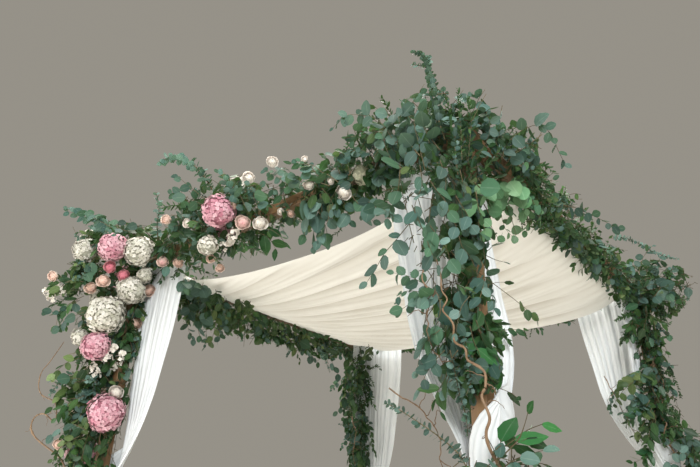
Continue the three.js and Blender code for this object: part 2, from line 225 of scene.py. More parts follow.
LIGHTS = {
    "front_light": {"at": (5.0, -5.5, 4.0), "wide": 3.0, "power": 650, "colour": (0.96, 0.97, 0.97)},
    "left_light": {"at": (-5.0, -5.0, 3.2), "wide": 3.5, "power": 150, "colour": (1.0, 0.98, 0.95)},
    "back_light": {"at": (-1.0, 6.5, 3.5), "wide": 5.0, "power": 190, "colour": (1.0, 0.96, 0.89)},
    "low_light": {"at": (-1.6, -2.6, 0.15), "wide": 1.8, "power": 60, "colour": (1.0, 0.97, 0.93)},
    "top_light": {"at": (-0.6, -0.4, 6.0), "wide": 4.0, "power": 360, "colour": (1.0, 0.97, 0.90)},
}
LIT = Vector((0, 0, 2.1))
ALL_ROUND = {"Color": (0.95, 0.89, 0.77, 1), "Strength": 0.32}
for name, light in LIGHTS.items():
    bpy.ops.object.light_add(type="AREA", location=light["at"])
    lamp = bpy.context.object
    lamp.name = name
    lamp.rotation_euler = (LIT - Vector(light["at"])).to_track_quat("-Z", "Y").to_euler()
    lamp.data.size, lamp.data.energy, lamp.data.color = light["wide"], light["power"], light["colour"]
    lamp.visible_camera = False

world = bpy.data.worlds.new("pale_studio")
bpy.context.scene.world = world
world.use_nodes = True
for name, value in ALL_ROUND.items():
    world.node_tree.nodes["Background"].inputs[name].default_value = value
bpy.context.scene.view_settings.view_transform = "Standard"


# Timber frame: planed softwood, 64 mm square, stained a warm brown. The posts stand in the
# feet, the side beams lie on the posts, and the front and back beams are screwed between them.
def finished(piece, material, node=None):
    """Gives a new piece its finish, rides it on the canopy and lets it stand for a CAD node."""
    piece.data.materials.clear()
    piece.data.materials.append(material)
    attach(piece, "root")
    if node:
        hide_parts(node)


def apply_modifiers(piece):
    deselect()
    piece.select_set(True)
    bpy.context.view_layer.objects.active = piece
    for modifier in list(piece.modifiers):
        bpy.ops.object.modifier_apply(modifier=modifier.name)


def settle(piece):
    """Puts a primitive's place, turn and size into its mesh."""
    deselect()
    piece.select_set(True)
    bpy.context.view_layer.objects.active = piece
    bpy.ops.object.transform_apply(location=True, rotation=True, scale=True)


TIMBER_EDGE = 0.004
EDGE_STEPS = 3
SMOOTH_BELOW = math.radians(35)


def bar(name, low, high, edge):
    """A block between two corners with its edges eased."""
    deselect()
    bpy.ops.mesh.primitive_cube_add(size=1, location=(low + high) / 2, scale=high - low)
    piece = bpy.context.object
    piece.name = name
    settle(piece)
    easing = piece.modifiers.new("eased_edges", "BEVEL")
    easing.width, easing.segments = edge, EDGE_STEPS
    apply_modifiers(piece)
    bpy.ops.object.shade_smooth_by_angle(angle=SMOOTH_BELOW)
    return piece


def timber_finish(name, along_grain):
    """Stained softwood: growth bands and fine pores, both drawn out along the grain."""
    wood = Finish(name, Roughness=0.5)
    bands = wood.place([0.55 if axis == along_grain else 9.0 for axis in range(3)])
    fine = wood.place([5.0 if axis == along_grain else 150.0 for axis in range(3)])
    growth = wood.noise(bands, 2.2, 4, 0.62)
    pores = wood.noise(fine, 1.0, 2, 0.5)
    stain = wood.noise(wood.place(), 2.4, 2, 0.5)
    colour = wood.ramp(growth, (0.28, (0.105, 0.056, 0.024)), (0.72, (0.235, 0.145, 0.068)),
                       (0.5, (0.170, 0.096, 0.043)))
    colour = wood.blend(stain * 0.45, colour, (0.20, 0.112, 0.050))
    colour = wood.blend(pores ** 3 * 0.8, colour, (0.085, 0.046, 0.022))
    wood.set(Base_Color=colour, Roughness=0.62 - growth * 0.22)
    wood.set(Normal=wood.bump(pores + growth * 0.6, 0.35, 0.0006))
    return wood.material


TIMBERS = {
    "front_left_post": 2, "front_right_post": 2, "back_right_post": 2, "back_left_post": 2,
    "front_beam": 0, "back_beam": 0, "left_beam": 1, "right_beam": 1,
}
timber_finishes = [timber_finish(f"stained_timber_{axis}", i) for i, axis in enumerate("xyz")]
for node, along_grain in TIMBERS.items():
    timber = bar(f"{node}_timber", *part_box(node), TIMBER_EDGE)
    finished(timber, timber_finishes[along_grain], node)

# Screws: two countersunk screws through each side beam into the end of the front and back beams.
SCREW = {"radius": 0.0055, "deep": 0.004, "proud": 0.3, "sunk": 0.5, "up": 0.014, "inset": 0.032,
         "sides": 20}
screw_finish = Finish("zinc_screw", Metallic=1.0, Roughness=0.38)
screw_wear = screw_finish.noise(screw_finish.place(), 900, 2)
screw_finish.set(Base_Color=screw_finish.ramp(
    screw_wear, (0.3, (0.45, 0.38, 0.22)), (0.7, (0.72, 0.66, 0.5))))


def cylinder(radius, deep, at, turn, sides):
    """A closed cylinder about a turned Z axis, with its place and turn still on the object."""
    deselect()
    bpy.ops.mesh.primitive_cylinder_add(
        vertices=sides, radius=radius, depth=deep, location=at, rotation=turn)
    return bpy.context.object


for side, out in (("left", -1), ("right", 1)):
    low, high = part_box(f"{side}_beam")
    face = low.x if out < 0 else high.x
    for end, y in (("front", low.y + SCREW["inset"]), ("back", high.y - SCREW["inset"])):
        for height, up in (("low", -SCREW["up"]), ("high", SCREW["up"])):
            at = (face + out * SCREW["deep"] * SCREW["proud"], y, (low.z + high.z) / 2 + up)
            screw = cylinder(SCREW["radius"], SCREW["deep"], at, (0, math.pi / 2 * out, 0), SCREW["sides"])
            screw.name = f"{side}_{end}_{height}_screw"
            bpy.ops.object.mode_set(mode="EDIT")
            bpy.ops.mesh.select_all(action="DESELECT")
            bpy.ops.object.mode_set(mode="OBJECT")
            for polygon in screw.data.polygons:
                polygon.select = polygon.normal.z > 0.9
            bpy.ops.object.mode_set(mode="EDIT")
            bpy.ops.mesh.inset(thickness=SCREW["radius"] * SCREW["sunk"])
            bpy.ops.mesh.extrude_region_move(
                TRANSFORM_OT_translate={"value": (-out * SCREW["deep"] * SCREW["sunk"], 0, 0)})
            bpy.ops.object.mode_set(mode="OBJECT")
            settle(screw)
            finished(screw, screw_finish.material)

# Feet: laser-cut steel plates with a square socket welded on, powder-coated dark grey and scuffed
# here and there. A wing bolt in the socket grips the post.
steel = Finish("powder_coated_steel", Metallic=0.15, Roughness=0.55)
speckle = steel.noise(steel.place(), 420, 2, 0.6)
scuffs = steel.noise(steel.place(), 16, 4, 0.7)
steel_colour = steel.ramp(speckle, (0.3, (0.035, 0.035, 0.038)), (0.75, (0.075, 0.075, 0.08)))
steel.set(Base_Color=steel.blend(scuffs ** 5 * 2.4, steel_colour, (0.22, 0.21, 0.20)))
steel.set(Roughness=0.42 + scuffs * 0.3, Normal=steel.bump(speckle, 0.3, 0.0004))

FOOT = {"plate": 0.010, "plate_edge": 0.002, "wall": 0.006, "wall_edge": 0.0012, "socket": 0.130,
        "clear": 0.0003, "weld": 0.005, "weld_sides": 12, "bolt_up": 0.1, "bolt_sides": 24}
BOLT_PARTS = ((0.011, 0.008, 0.004), (0.005, 0.030, 0.020), (0.010, 0.010, 0.034))  # radius, length, out


def foot(corner):
    """Plate, socket walls, weld beads and wing bolt, joined as one welded fitting."""
    low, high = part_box(f"{corner}_foot")
    post_low, post_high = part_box(f"{corner}_post")
    clear, wall, base = Vector((FOOT["clear"], FOOT["clear"], 0)), FOOT["wall"], low.z + FOOT["plate"]
    inner_low, inner_high = post_low - clear, post_high + clear
    plate = bar(f"{corner}_plate", low, Vector((high.x, high.y, base)), FOOT["plate_edge"])
    parts = [plate]
    for axis in (0, 1):
        for end in (-1, 1):
            a = Vector((inner_low.x - wall, inner_low.y - wall, base))
            b = Vector((inner_high.x + wall, inner_high.y + wall, base + FOOT["socket"]))
            if axis == 0:
                a.x, b.x = (a.x, inner_low.x) if end < 0 else (inner_high.x, b.x)
            else:
                a.y, b.y = (a.y, inner_low.y) if end < 0 else (inner_high.y, b.y)
                a.x, b.x = inner_low.x, inner_high.x
            parts.append(bar("socket_wall", a, b, FOOT["wall_edge"]))
            run = (b - a).y if axis == 0 else (b - a).x + 2 * wall
            bead = (a + b) / 2
            bead[axis] = (inner_low[axis] - wall) if end < 0 else (inner_high[axis] + wall)
            bead.z = base
            turn = (math.pi / 2, 0, 0) if axis == 0 else (0, math.pi / 2, 0)
            parts.append(cylinder(FOOT["weld"], run, bead, turn, FOOT["weld_sides"]))
            settle(parts[-1])
    out, face = (1, inner_high.x + wall) if low.x > 0 else (-1, inner_low.x - wall)
    for radius, long, off in BOLT_PARTS:
        at = (face + out * off, (low.y + high.y) / 2, low.z + FOOT["bolt_up"])
        parts.append(cylinder(radius, long, at, (0, math.pi / 2, 0), FOOT["bolt_sides"]))
        settle(parts[-1])
    deselect()
    for part in parts:
        part.select_set(True)
    bpy.context.view_layer.objects.active = plate
    bpy.ops.object.join()
    plate.name = f"{corner}_foot_plate"
    return plate


CORNERS = {"front_left": (-1, -1), "front_right": (1, -1), "back_right": (1, 1), "back_left": (-1, 1)}
for corner in CORNERS:
    finished(foot(corner), steel.material, f"{corner}_foot")

# Canopy cloth: one length of cream chiffon laid over both side beams. It drops down their inner faces
# and hangs in long swags from beam to beam, fanned a little. Its front and back edges are free hems.
HALF = 1.220
SECTION = 0.032
BEAM_TOP = 2.440
CLOTH = {"sag": 0.118, "steepness": 3.2, "tip": 0.015, "lean": 0.020, "drop": 0.095, "turn": 40,
         "corner_turn": 9, "corner_from": 0.70, "corner_over": 0.13, "pinned": 1.150, "free": 1.000,
         "above_beam": 0.0045, "thick": 0.0012}
CLOTH_GRID = (110, 240)
SWAG = {"count": 7, "deep": 0.054, "level": 0.019, "keen": 1.5, "wander": 0.030,
        "wander_wave": (1.6, 2.4, 0.4), "strength": 0.8, "uneven": 0.3, "uneven_wave": (0.8, 3.1, 2.0),
        "fan_from": -2.05, "fan_line": -0.30, "even_from": 0.5, "fade": 0.45, "hem": 0.16}
FOLDS = ((13.6, 0.015), (23.5, 0.008), (39.0, 0.0035))  # how close, how deep
FOLD = {"wander": 0.05, "lean": 0.9, "spans": (5.1, 3.4), "seed": 3, "share": 0.6, "uneven": 0.7,
        "uneven_lean": (0.3, 1.3), "uneven_spans": (0.9, 0.55), "uneven_seed": 20, "least": 0.05,
        "most": 1.4, "crease": 0.45}
TACKED = {"count": 24, "wander": 0.8, "spans": (0.31, 0.7), "seed": 8, "high": 0.010, "reach": 0.22,
          "edge": 0.02, "crease": 0.5}


def smooth(t):
    t = np.clip(t, 0, 1)
    return t * t * (3 - 2 * t)


def waves(values, spans, seed):
    """A gentle wander: a few sine waves with seeded phases, between about -1 and 1."""
    rng = np.random.default_rng(seed)
    total = np.zeros_like(values)
    for span in spans:
        total += np.sin(2 * np.pi * (values / span + rng.random())) / len(spans)
    return total


def ridge(turns, keen):
    """1 on a keen ridge at each half turn, 0 midway between them, where the cloth bellies down."""
    return (1 - np.abs(np.sin(turns * np.pi / 2))) ** keen


def cloth_wave(x, v, across, along, start):
    return np.sin(across * x + along * v + start)


def cloth_rule(x, v):
    """Points of the cloth from their places across (x, metres) and along the beams (v, -1 to 1), and
    how deep in a crease each one lies."""
    out = np.clip(np.abs(x) / (HALF - SECTION), 0, 1)
    pull = (np.abs(x) / (HALF + SECTION)) ** 2
    y = v * (CLOTH["free"] + (CLOTH["pinned"] - CLOTH["free"]) * pull)
    sag = (CLOTH["sag"] + CLOTH["tip"] * x - CLOTH["lean"] * v) * (1 - out ** CLOTH["steepness"])
    at_corner = smooth((np.abs(v) - CLOTH["corner_from"]) / CLOTH["corner_over"])
    turn = CLOTH["turn"] + (CLOTH["corner_turn"] - CLOTH["turn"]) * at_corner
    low = sag + CLOTH["drop"] * (1 - out ** turn)
    spread = (SWAG["even_from"] - SWAG["fan_from"]) / (np.minimum(x, SWAG["even_from"]) - SWAG["fan_from"])
    fan = SWAG["fan_line"] + (v - SWAG["fan_line"]) * spread
    swag_line = fan + SWAG["wander"] * cloth_wave(x, v, *SWAG["wander_wave"])
    swag = ridge(swag_line * SWAG["count"], SWAG["keen"])
    slack = smooth((1 - out) / SWAG["fade"]) * smooth((1 - np.abs(v)) / SWAG["hem"])
    strong = SWAG["strength"] + SWAG["uneven"] * cloth_wave(x, v, *SWAG["uneven_wave"])
    folds = (SWAG["deep"] * swag - SWAG["level"]) * strong
    # The crease depth sets the cloth's painted shade: the deeper a point lies in a crease, the darker its
    # colour.
    crease = swag * strong
    across, along = FOLD["uneven_lean"]
    for order, (count, deep) in enumerate(FOLDS):
        line = fan + FOLD["wander"] * waves(x + FOLD["lean"] * v, FOLD["spans"], order + FOLD["seed"])
        fold = ridge(line * count + order, SWAG["keen"])
        uneven = waves(along * v + across * x, FOLD["uneven_spans"], order + FOLD["uneven_seed"])
        share = np.clip(FOLD["share"] + FOLD["uneven"] * uneven, FOLD["least"], FOLD["most"])
        folds += deep * fold * share
        crease = crease + FOLD["crease"] * fold * share
    tack_line = v * TACKED["count"] + TACKED["wander"] * waves(v, TACKED["spans"], TACKED["seed"])
    tacked = ridge(tack_line, 1)
    near_beam = (1 - smooth((1 - out) / TACKED["reach"])) * smooth((1 - out) / TACKED["edge"])
    z = BEAM_TOP + CLOTH["above_beam"] - low + folds * slack + TACKED["high"] * tacked * near_beam
    crease = np.clip(crease * slack + TACKED["crease"] * tacked * near_beam, 0, 1)
    return np.stack([x, y, z], axis=-1), crease


def grid_mesh(name, points, creases):
    """A sheet through a grid of points: rows by columns by 3. Each point also keeps its crease."""
    rows, columns = points.shape[:2]
    index = np.arange(rows * columns).reshape(rows, columns)
    quads = np.stack([index[:-1, :-1], index[1:, :-1], index[1:, 1:], index[:-1, 1:]], axis=-1)
    mesh = bpy.data.meshes.new(name)
    mesh.from_pydata(points.reshape(-1, 3).tolist(), [], quads.reshape(-1, 4).tolist())
    piece = bpy.data.objects.new(name, mesh)
    bpy.context.collection.objects.link(piece)
    layer = mesh.uv_layers.new(name="cut")
    corner = np.zeros(len(mesh.loops), dtype=np.int32)
    mesh.loops.foreach_get("vertex_index", corner)
    spots = np.stack([corner // columns / (rows - 1), corner % columns / (columns - 1)], axis=-1)
    layer.data.foreach_set("uv", spots.astype(np.float32).ravel())
    # Each point's crease depth goes to the finish, which paints it as shade.
    depth = mesh.attributes.new("crease", "FLOAT", "POINT")
    depth.data.foreach_set("value", creases.astype(np.float32).ravel())
    mesh.polygons.foreach_set("use_smooth", np.ones(len(mesh.polygons), dtype=bool))
    mesh.update()
    return piece


def thicken(piece, thick, outward=-1):
    """Gives a sheet its thickness: on its inner side at -1, on both at 0, on its outer side at 1."""
    thickness = piece.modifiers.new("thickness", "SOLIDIFY")
    thickness.thickness, thickness.offset = thick, outward
    apply_modifiers(piece)


across = np.linspace(-(HALF + SECTION), HALF + SECTION, CLOTH_GRID[0])
along = np.linspace(-1, 1, CLOTH_GRID[1])
canopy_cloth = grid_mesh("canopy_chiffon", *cloth_rule(*np.meshgrid(across, along, indexing="ij")))
thicken(canopy_cloth, CLOTH["thick"], 1)


def chiffon_finish(name, colour, shade, glow):
    """Fine crossed threads, slubs, painted shade in the creases, and some light let through from behind."""
    cloth = Finish(name, Roughness=0.85, Sheen_Weight=0.25)
    thread = cloth.noise(cloth.place_on_cut((60, 1400, 1)), 1.0, 2)
    slub = cloth.noise(cloth.place_on_cut((1400, 60, 1)), 1.0, 2)
    cloud = cloth.noise(cloth.place(), 1.7, 3, 0.6)
    # Painted shade: the base colour darkens toward the shade colour with each point's crease depth, and a
    # soft noise mottles it a little.
    base = cloth.blend(cloud * 0.20 + cloth.tone("crease") * 0.85, colour, shade)
    base = cloth.blend((thread + slub) * 0.10, base, tuple(0.86 * c for c in shade))
    cloth.set(Base_Color=base, Normal=cloth.bump(thread + slub, 0.25, 0.0004))
    cloth.let_through(colour, glow)
    return cloth.material


# Cream chiffon: its second colour is the painted shade in the creases.
canopy_finish = chiffon_finish("cream_chiffon", (0.93, 0.93, 0.90), (0.53, 0.50, 0.435), 0.28)
finished(canopy_cloth, canopy_finish, "canopy_cloth")

# Corner drapes: a panel of white chiffon tacked in pleats along the inner faces of two beams, drawn
# in to the post by a ribbon, and left to flare to the floor.
DRAPE = {"tie_radius": 0.064, "hem_radius": 0.200, "hem": 0.016, "top": 2.410, "near": 0.0373,
         "thick": 0.001}
DRAPE_GRID = (150, 64)
TIED_AT = {"front_left": 0.930, "front_right": 1.050, "back_right": 1.150, "back_left": 0.900}
# The panels pair a height over the ribbon with the distance that the edge keeps from the post's
# centre line. The left drapes hang in a narrower panel along the side beam.
FRONT_PANEL = ((0.030, DRAPE["tie_radius"]), (0.140, 0.105), (0.210, 0.158), (0.345, 0.235),
               (0.445, 0.285), (0.610, 0.335), (0.800, 0.365), (1.000, 0.400), (1.250, 0.430),
               (1.500, 0.440))
SIDE_PANEL = ((0.030, DRAPE["tie_radius"]), (0.110, 0.110), (0.200, 0.185), (0.300, 0.268),
              (0.380, 0.322), (0.490, 0.365), (0.580, 0.358), (0.710, 0.325), (0.860, 0.288),
              (0.960, 0.264), (1.500, 0.250))
NARROW_PANEL = ((0.030, DRAPE["tie_radius"]), (0.110, 0.085), (0.229, 0.107), (0.363, 0.146),
                (0.523, 0.180), (0.677, 0.198), (0.882, 0.220), (1.094, 0.238), (1.250, 0.250))
# By height over the ribbon: how far the cloth is drawn round the post, and how deep its pleats are.
GATHER = ((0.030, 1.0), (0.110, 0.8), (0.210, 0.55), (0.345, 0.34), (0.600, 0.14), (0.950, 0.0))
PLEAT = ((-0.90, 0.040), (-0.45, 0.032), (-0.16, 0.017), (-0.03, 0.006), (0.03, 0.006), (0.14, 0.013),
         (0.44, 0.024), (0.94, 0.022), (1.25, 0.016))
# By share of the way down from the ribbon to the hem: how far the cloth flares.
FLARE = ((0.035, DRAPE["tie_radius"]), (0.09, 0.084), (0.23, 0.115), (0.55, 0.165),
         (1.0, DRAPE["hem_radius"]))
WRAP = 20
PLEATS = {"count": 13, "uneven": 1.9, "uneven_spans": (0.37, 0.8), "sway": 0.35, "sway_spans": (1.9, 0.9),
          "round": 0.8, "deep": 0.7, "deeper": 0.5, "deeper_spans": (0.21, 0.47), "lean": 0.15,
          "fine": 0.15, "fine_count": 61, "fine_lean": 2, "tacked": (0.35, 0.65), "tacked_over": 0.08}
# How far round the post, in degrees, the side panel's free edge is pulled at each height.
PULLED = ((-0.90, 130), (-0.50, 180), (-0.15, 300), (0.08, 335), (0.13, 300), (0.175, 272), (0.207, 233),
          (0.26, 150), (0.34, 95))
PULL = {"columns": 40, "radius": 0.053, "closes": 0.35, "from": 0.36, "over": 0.10, "fold": 0.035,
        "apart": 0.004, "apart_by": 4, "least_turn": 4, "pleat": 0.006, "pleats": 7}


def curve_through(pairs, values):
    """A smoothed run through [value, result] pairs."""
    spots, results = np.array(pairs).T
    offsets = np.linspace(-0.05, 0.05, 9)
    return np.mean([np.interp(values + shift, spots, results) for shift in offsets], axis=0)


def pulled_edge(u, v, up, count):
    """The strip along the side panel's free edge: folded back high up, pulled round the post lower down."""
    w, up = np.meshgrid(np.linspace(0, 1, count + 1)[1:], up, indexing="ij")
    radius, start = np.hypot(u, v), np.degrees(np.arctan2(v, u))
    turn = start + (np.maximum(curve_through(PULLED, up), start + PULL["least_turn"]) - start) * w
    wave = np.abs(np.sin(w * PULL["pleats"] * np.pi)) * smooth(w / PULL["closes"])
    close = PULL["radius"] + PULL["pleat"] * wave
    away = close + (np.maximum(radius, close) - close) * (1 - smooth(w / PULL["closes"]))
    share = smooth((PULL["from"] - up) / PULL["over"])
    round_u, round_v = away * np.cos(np.radians(turn)), away * np.sin(np.radians(turn))
    back_u, back_v = u - PULL["apart"] * np.minimum(w * PULL["apart_by"], 1), v - PULL["fold"] * w
    # The third value is the folded strip's crease depth, which the finish paints as shade.
    return (back_u * (1 - share) + round_u * share, back_v * (1 - share) + round_v * share,
            (1 - wave) ** 2 * share)


def drape_rule(s, z, tie, side_panel, seed):
    """Points of a drape, from the post's centre towards the middle, and how deep in a crease."""
    up = z - tie
    flare = curve_through(FLARE, -up / (tie - DRAPE["hem"]))
    wide = np.where(up < 0, flare, curve_through(FRONT_PANEL, up))
    deep = np.where(up < 0, flare, curve_through(side_panel, up))
    near, out = DRAPE["near"], np.abs(2 * s - 1)
    hung_u = np.where(s < 0.5, near + (wide - near) * out, near)
    hung_v = np.where(s < 0.5, near, near + (deep - near) * out)
    drawn = curve_through(GATHER, up)
    angle = np.radians(90 * s + WRAP * drawn * (2 * s - 1))
    u = hung_u * (1 - drawn) + wide * np.cos(angle) * drawn
    v = hung_v * (1 - drawn) + deep * np.sin(angle) * drawn
    du, dv = np.gradient(u, axis=0), np.gradient(v, axis=0)
    size = np.maximum(np.hypot(du, dv), 1e-9)
    flat, free = PLEATS["tacked"]
    deep = curve_through(PLEAT, up) * (flat + free * smooth((DRAPE["top"] - z) / PLEATS["tacked_over"]))
    rng = np.random.default_rng(seed)
    uneven = waves(s, PLEATS["uneven_spans"], seed)
    sway = waves(z, PLEATS["sway_spans"], seed + 1)
    phase = s * PLEATS["count"] * np.pi + PLEATS["uneven"] * uneven + PLEATS["sway"] * sway
    valley = np.abs(np.sin(phase)) ** PLEATS["round"]
    deeper = waves(s + PLEATS["lean"] * z, PLEATS["deeper_spans"], seed + 2)
    pleat = valley * deep * (PLEATS["deep"] + PLEATS["deeper"] * deeper)
    fine_line = s * PLEATS["fine_count"] * np.pi + PLEATS["fine_lean"] * z + rng.random() * 6
    push = pleat + PLEATS["fine"] * deep * np.sin(fine_line)
    # The crease is deepest where the pleats turn, and the finish paints it as shade.
    u, v, crease = u + dv / size * push, v - du / size * push, (1 - valley) ** 2
    strip = pulled_edge(u[-1], v[-1], up[-1], PULL["columns"])
    return [np.concatenate(both) for both in zip((u, v, crease), strip)]


drape_s, drape_z = np.meshgrid(
    np.linspace(0, 1, DRAPE_GRID[0]), np.linspace(DRAPE["hem"], DRAPE["top"], DRAPE_GRID[1]), indexing="ij")
# White chiffon: its second colour is the painted shade in the pleats.
drape_finish = chiffon_finish("white_chiffon", (0.82, 0.85, 0.86), (0.56, 0.59, 0.61), 0.26)
for seed, (corner, (sx, sy)) in enumerate(CORNERS.items(), start=21):
    side_panel = NARROW_PANEL if sx < 0 else SIDE_PANEL
    u, v, creases = drape_rule(drape_s, drape_z, TIED_AT[corner], side_panel, seed)
    heights = np.broadcast_to(drape_z[0], u.shape)
    points = np.stack([sx * (HALF - u), sy * (HALF - v), heights], axis=-1)
    facing = slice(None, None, 1 if sx * sy > 0 else -1)
    drape = grid_mesh(f"{corner}_chiffon", points[facing], creases[facing])
    thicken(drape, DRAPE["thick"], 0)
    finished(drape, drape_finish, f"{corner}_drape")

# Ribbon ties: a flat white satin ribbon drawn round each gathered drape and its post at waist height,
# pulled tight against the timber behind and crumpled a little where the pleats push it out.
TIE = {"wide": 0.040, "round_drape": 0.0765, "round_post": 0.050, "thick": 0.0012, "sides": 96,
       "held_from": 70, "held_over": 35, "crumple": 0.0022, "sway": 0.003, "curl": 0.004}
TIE_WAVES = {"crumple": 17, "sway": 2, "curl": 9}
satin = Finish("white_satin", Roughness=0.45)
satin_weave = satin.noise(satin.place((900, 900, 120)), 1.0, 2)
satin.set(Base_Color=satin.ramp(satin_weave, (0.3, (0.66, 0.67, 0.66)), (0.7, (0.78, 0.79, 0.78))))
satin.set(Normal=satin.bump(satin_weave, 0.2, 0.0003))
for seed, (corner, (sx, sy)) in enumerate(CORNERS.items(), start=41):
    deselect()
    bpy.ops.mesh.primitive_cylinder_add(
        vertices=TIE["sides"], radius=1, depth=TIE["wide"], end_fill_type="NOTHING",
        location=(sx * HALF, sy * HALF, TIED_AT[corner]))
    tie = bpy.context.object
    tie.name = f"{corner}_ribbon"
    bpy.ops.object.mode_set(mode="EDIT")
    bpy.ops.mesh.select_all(action="SELECT")
    bpy.ops.mesh.subdivide(number_cuts=1)
    bpy.ops.object.mode_set(mode="OBJECT")
    for vertex in tie.data.vertices:
        turn = math.atan2(-sy * vertex.co.y, -sx * vertex.co.x)
        height = vertex.co.z / TIE["wide"]
        from_drape = abs(turn - math.radians(45)) - math.radians(TIE["held_from"])
        held = smooth(from_drape / math.radians(TIE["held_over"]))
        radius = TIE["round_drape"] + (TIE["round_post"] - TIE["round_drape"]) * held
        wave = {name: TIE[name] * math.sin(turn * count + seed) for name, count in TIE_WAVES.items()}
        crumple = wave["crumple"] * (1 - held) * (0.4 + abs(height))
        vertex.co.xy = vertex.co.xy * ((radius + crumple) / vertex.co.xy.length)
        vertex.co.z += wave["sway"] + height * wave["curl"]
    thicken(tie, TIE["thick"])
    settle(tie)
    bpy.ops.object.shade_smooth_by_angle(angle=math.radians(50))
    finished(tie, satin.material, f"{corner}_tie")


# Curly willow: dry rods as thick as a finger, wired to the post garlands so that they twist out of
# the leaves. They taper, they have small knots, and thin twigs leave them here and there.
class Bunch:
    """Gathers many small shapes into one mesh, each with its own colour and gloss."""

    def __init__(self):
        self.spots, self.faces, self.colours, self.gloss, self.uv = [], [], [], [], []
        self.total = 0

    def add(self, spots, faces, colours, gloss, uv):
        count, size = spots.shape[:2]
        if count == 0:
            return
        first = self.total + size * np.arange(count)
        if colours.ndim == 2:
            colours = np.repeat(colours[:, None], size, axis=1)
        self.spots.append(spots.reshape(-1, 3))
        self.faces.append((faces[None] + first[:, None, None]).reshape(-1, 3))
        self.colours.append(colours.reshape(-1, 3))
        self.gloss.append(np.full(count * size, gloss))
        self.uv.append(np.tile(uv, (count, 1)))
        self.total += count * size

    def build(self, name):
        faces = np.concatenate(self.faces)
        mesh = bpy.data.meshes.new(name)
        mesh.from_pydata(np.concatenate(self.spots).tolist(), [], faces.tolist())
        colours = np.concatenate(self.colours).clip(0, 1)
        paint = mesh.attributes.new("own_colour", "FLOAT_COLOR", "POINT")
        rgba = np.concatenate([colours, np.ones((len(colours), 1))], axis=1)
        paint.data.foreach_set("color", rgba.astype(np.float32).ravel())
        shine = mesh.attributes.new("own_gloss", "FLOAT", "POINT")
        shine.data.foreach_set("value", np.concatenate(self.gloss).astype(np.float32))
        layer = mesh.uv_layers.new(name="cut")
        layer.data.foreach_set("uv", np.concatenate(self.uv)[faces].astype(np.float32).ravel())
        mesh.polygons.foreach_set("use_smooth", np.ones(len(faces), dtype=bool))
        mesh.update()
        piece = bpy.data.objects.new(name, mesh)
        bpy.context.collection.objects.link(piece)
        return piece


def unit(vectors):
    return vectors / np.maximum(np.linalg.norm(vectors, axis=-1, keepdims=True), 1e-9)


def through(route, count):
    """A smooth line of points through a route's points."""
    route = np.array(route, float)
    ends = np.concatenate([[2 * route[0] - route[1]], route, [2 * route[-1] - route[-2]]])
    place = np.linspace(0, len(route) - 1, count)
    i = np.minimum(place.astype(int), len(route) - 2)
    f = (place - i)[:, None]
    a, b, c, d = ends[i], ends[i + 1], ends[i + 2], ends[i + 3]
    return 0.5 * (2 * b + (c - a) * f + (2 * a - 5 * b + 4 * c - d) * f ** 2
                  + (3 * b - a - 3 * c + d) * f ** 3)


OFF_AXIS = np.array([0.31, 0.23, 0.92])


def tubes(lines, radii, sides):
    """Closed round stems along lines (stems, points, 3): their spots and the faces of one."""
    count, points = lines.shape[:2]
    ahead = unit(np.gradient(lines, axis=1))
    side = unit(np.cross(ahead, OFF_AXIS))
    up = np.cross(side, ahead)
    turn = 2 * np.pi * np.arange(sides) / sides
    ring = side[:, :, None] * np.cos(turn)[:, None] + up[:, :, None] * np.sin(turn)[:, None]
    spots = (lines[:, :, None] + ring * radii[:, :, None, None]).reshape(count, points * sides, 3)
    faces = []
    for i in range(points - 1):
        for k in range(sides):
            a, b = i * sides + k, i * sides + (k + 1) % sides
            faces += [(a, a + sides, b + sides), (a, b + sides, b)]
    last = (points - 1) * sides
    for k in range(1, sides - 1):
        faces += [(0, k, k + 1), (last, last + k + 1, last + k)]
    along, around = np.meshgrid(np.linspace(0, 1, points), np.arange(sides) / sides, indexing="ij")
    return spots, np.array(faces), np.stack([along.ravel(), around.ravel()], axis=-1)


bark = Finish("willow_bark", Roughness=0.6)
bark_streak = bark.noise(bark.place((60, 60, 25)), 1.0, 4, 0.6)
bark_tone = bark.own_colour()
bark_dark = bark.blend(1.0, bark_tone, (0.32, 0.25, 0.19), "MULTIPLY")
bark.set(Base_Color=bark.blend(bark_streak ** 2 * 1.6, bark_tone, bark_dark))
bark.set(Normal=bark.bump(bark_streak, 0.5, 0.001), Roughness=0.75 - bark_streak * 0.3)


def in_view(route):
    """Places [photo_x, photo_y, depth in metres] as points of the frame."""
    return [EYE + sight(x, y) * depth for x, y, depth in route]


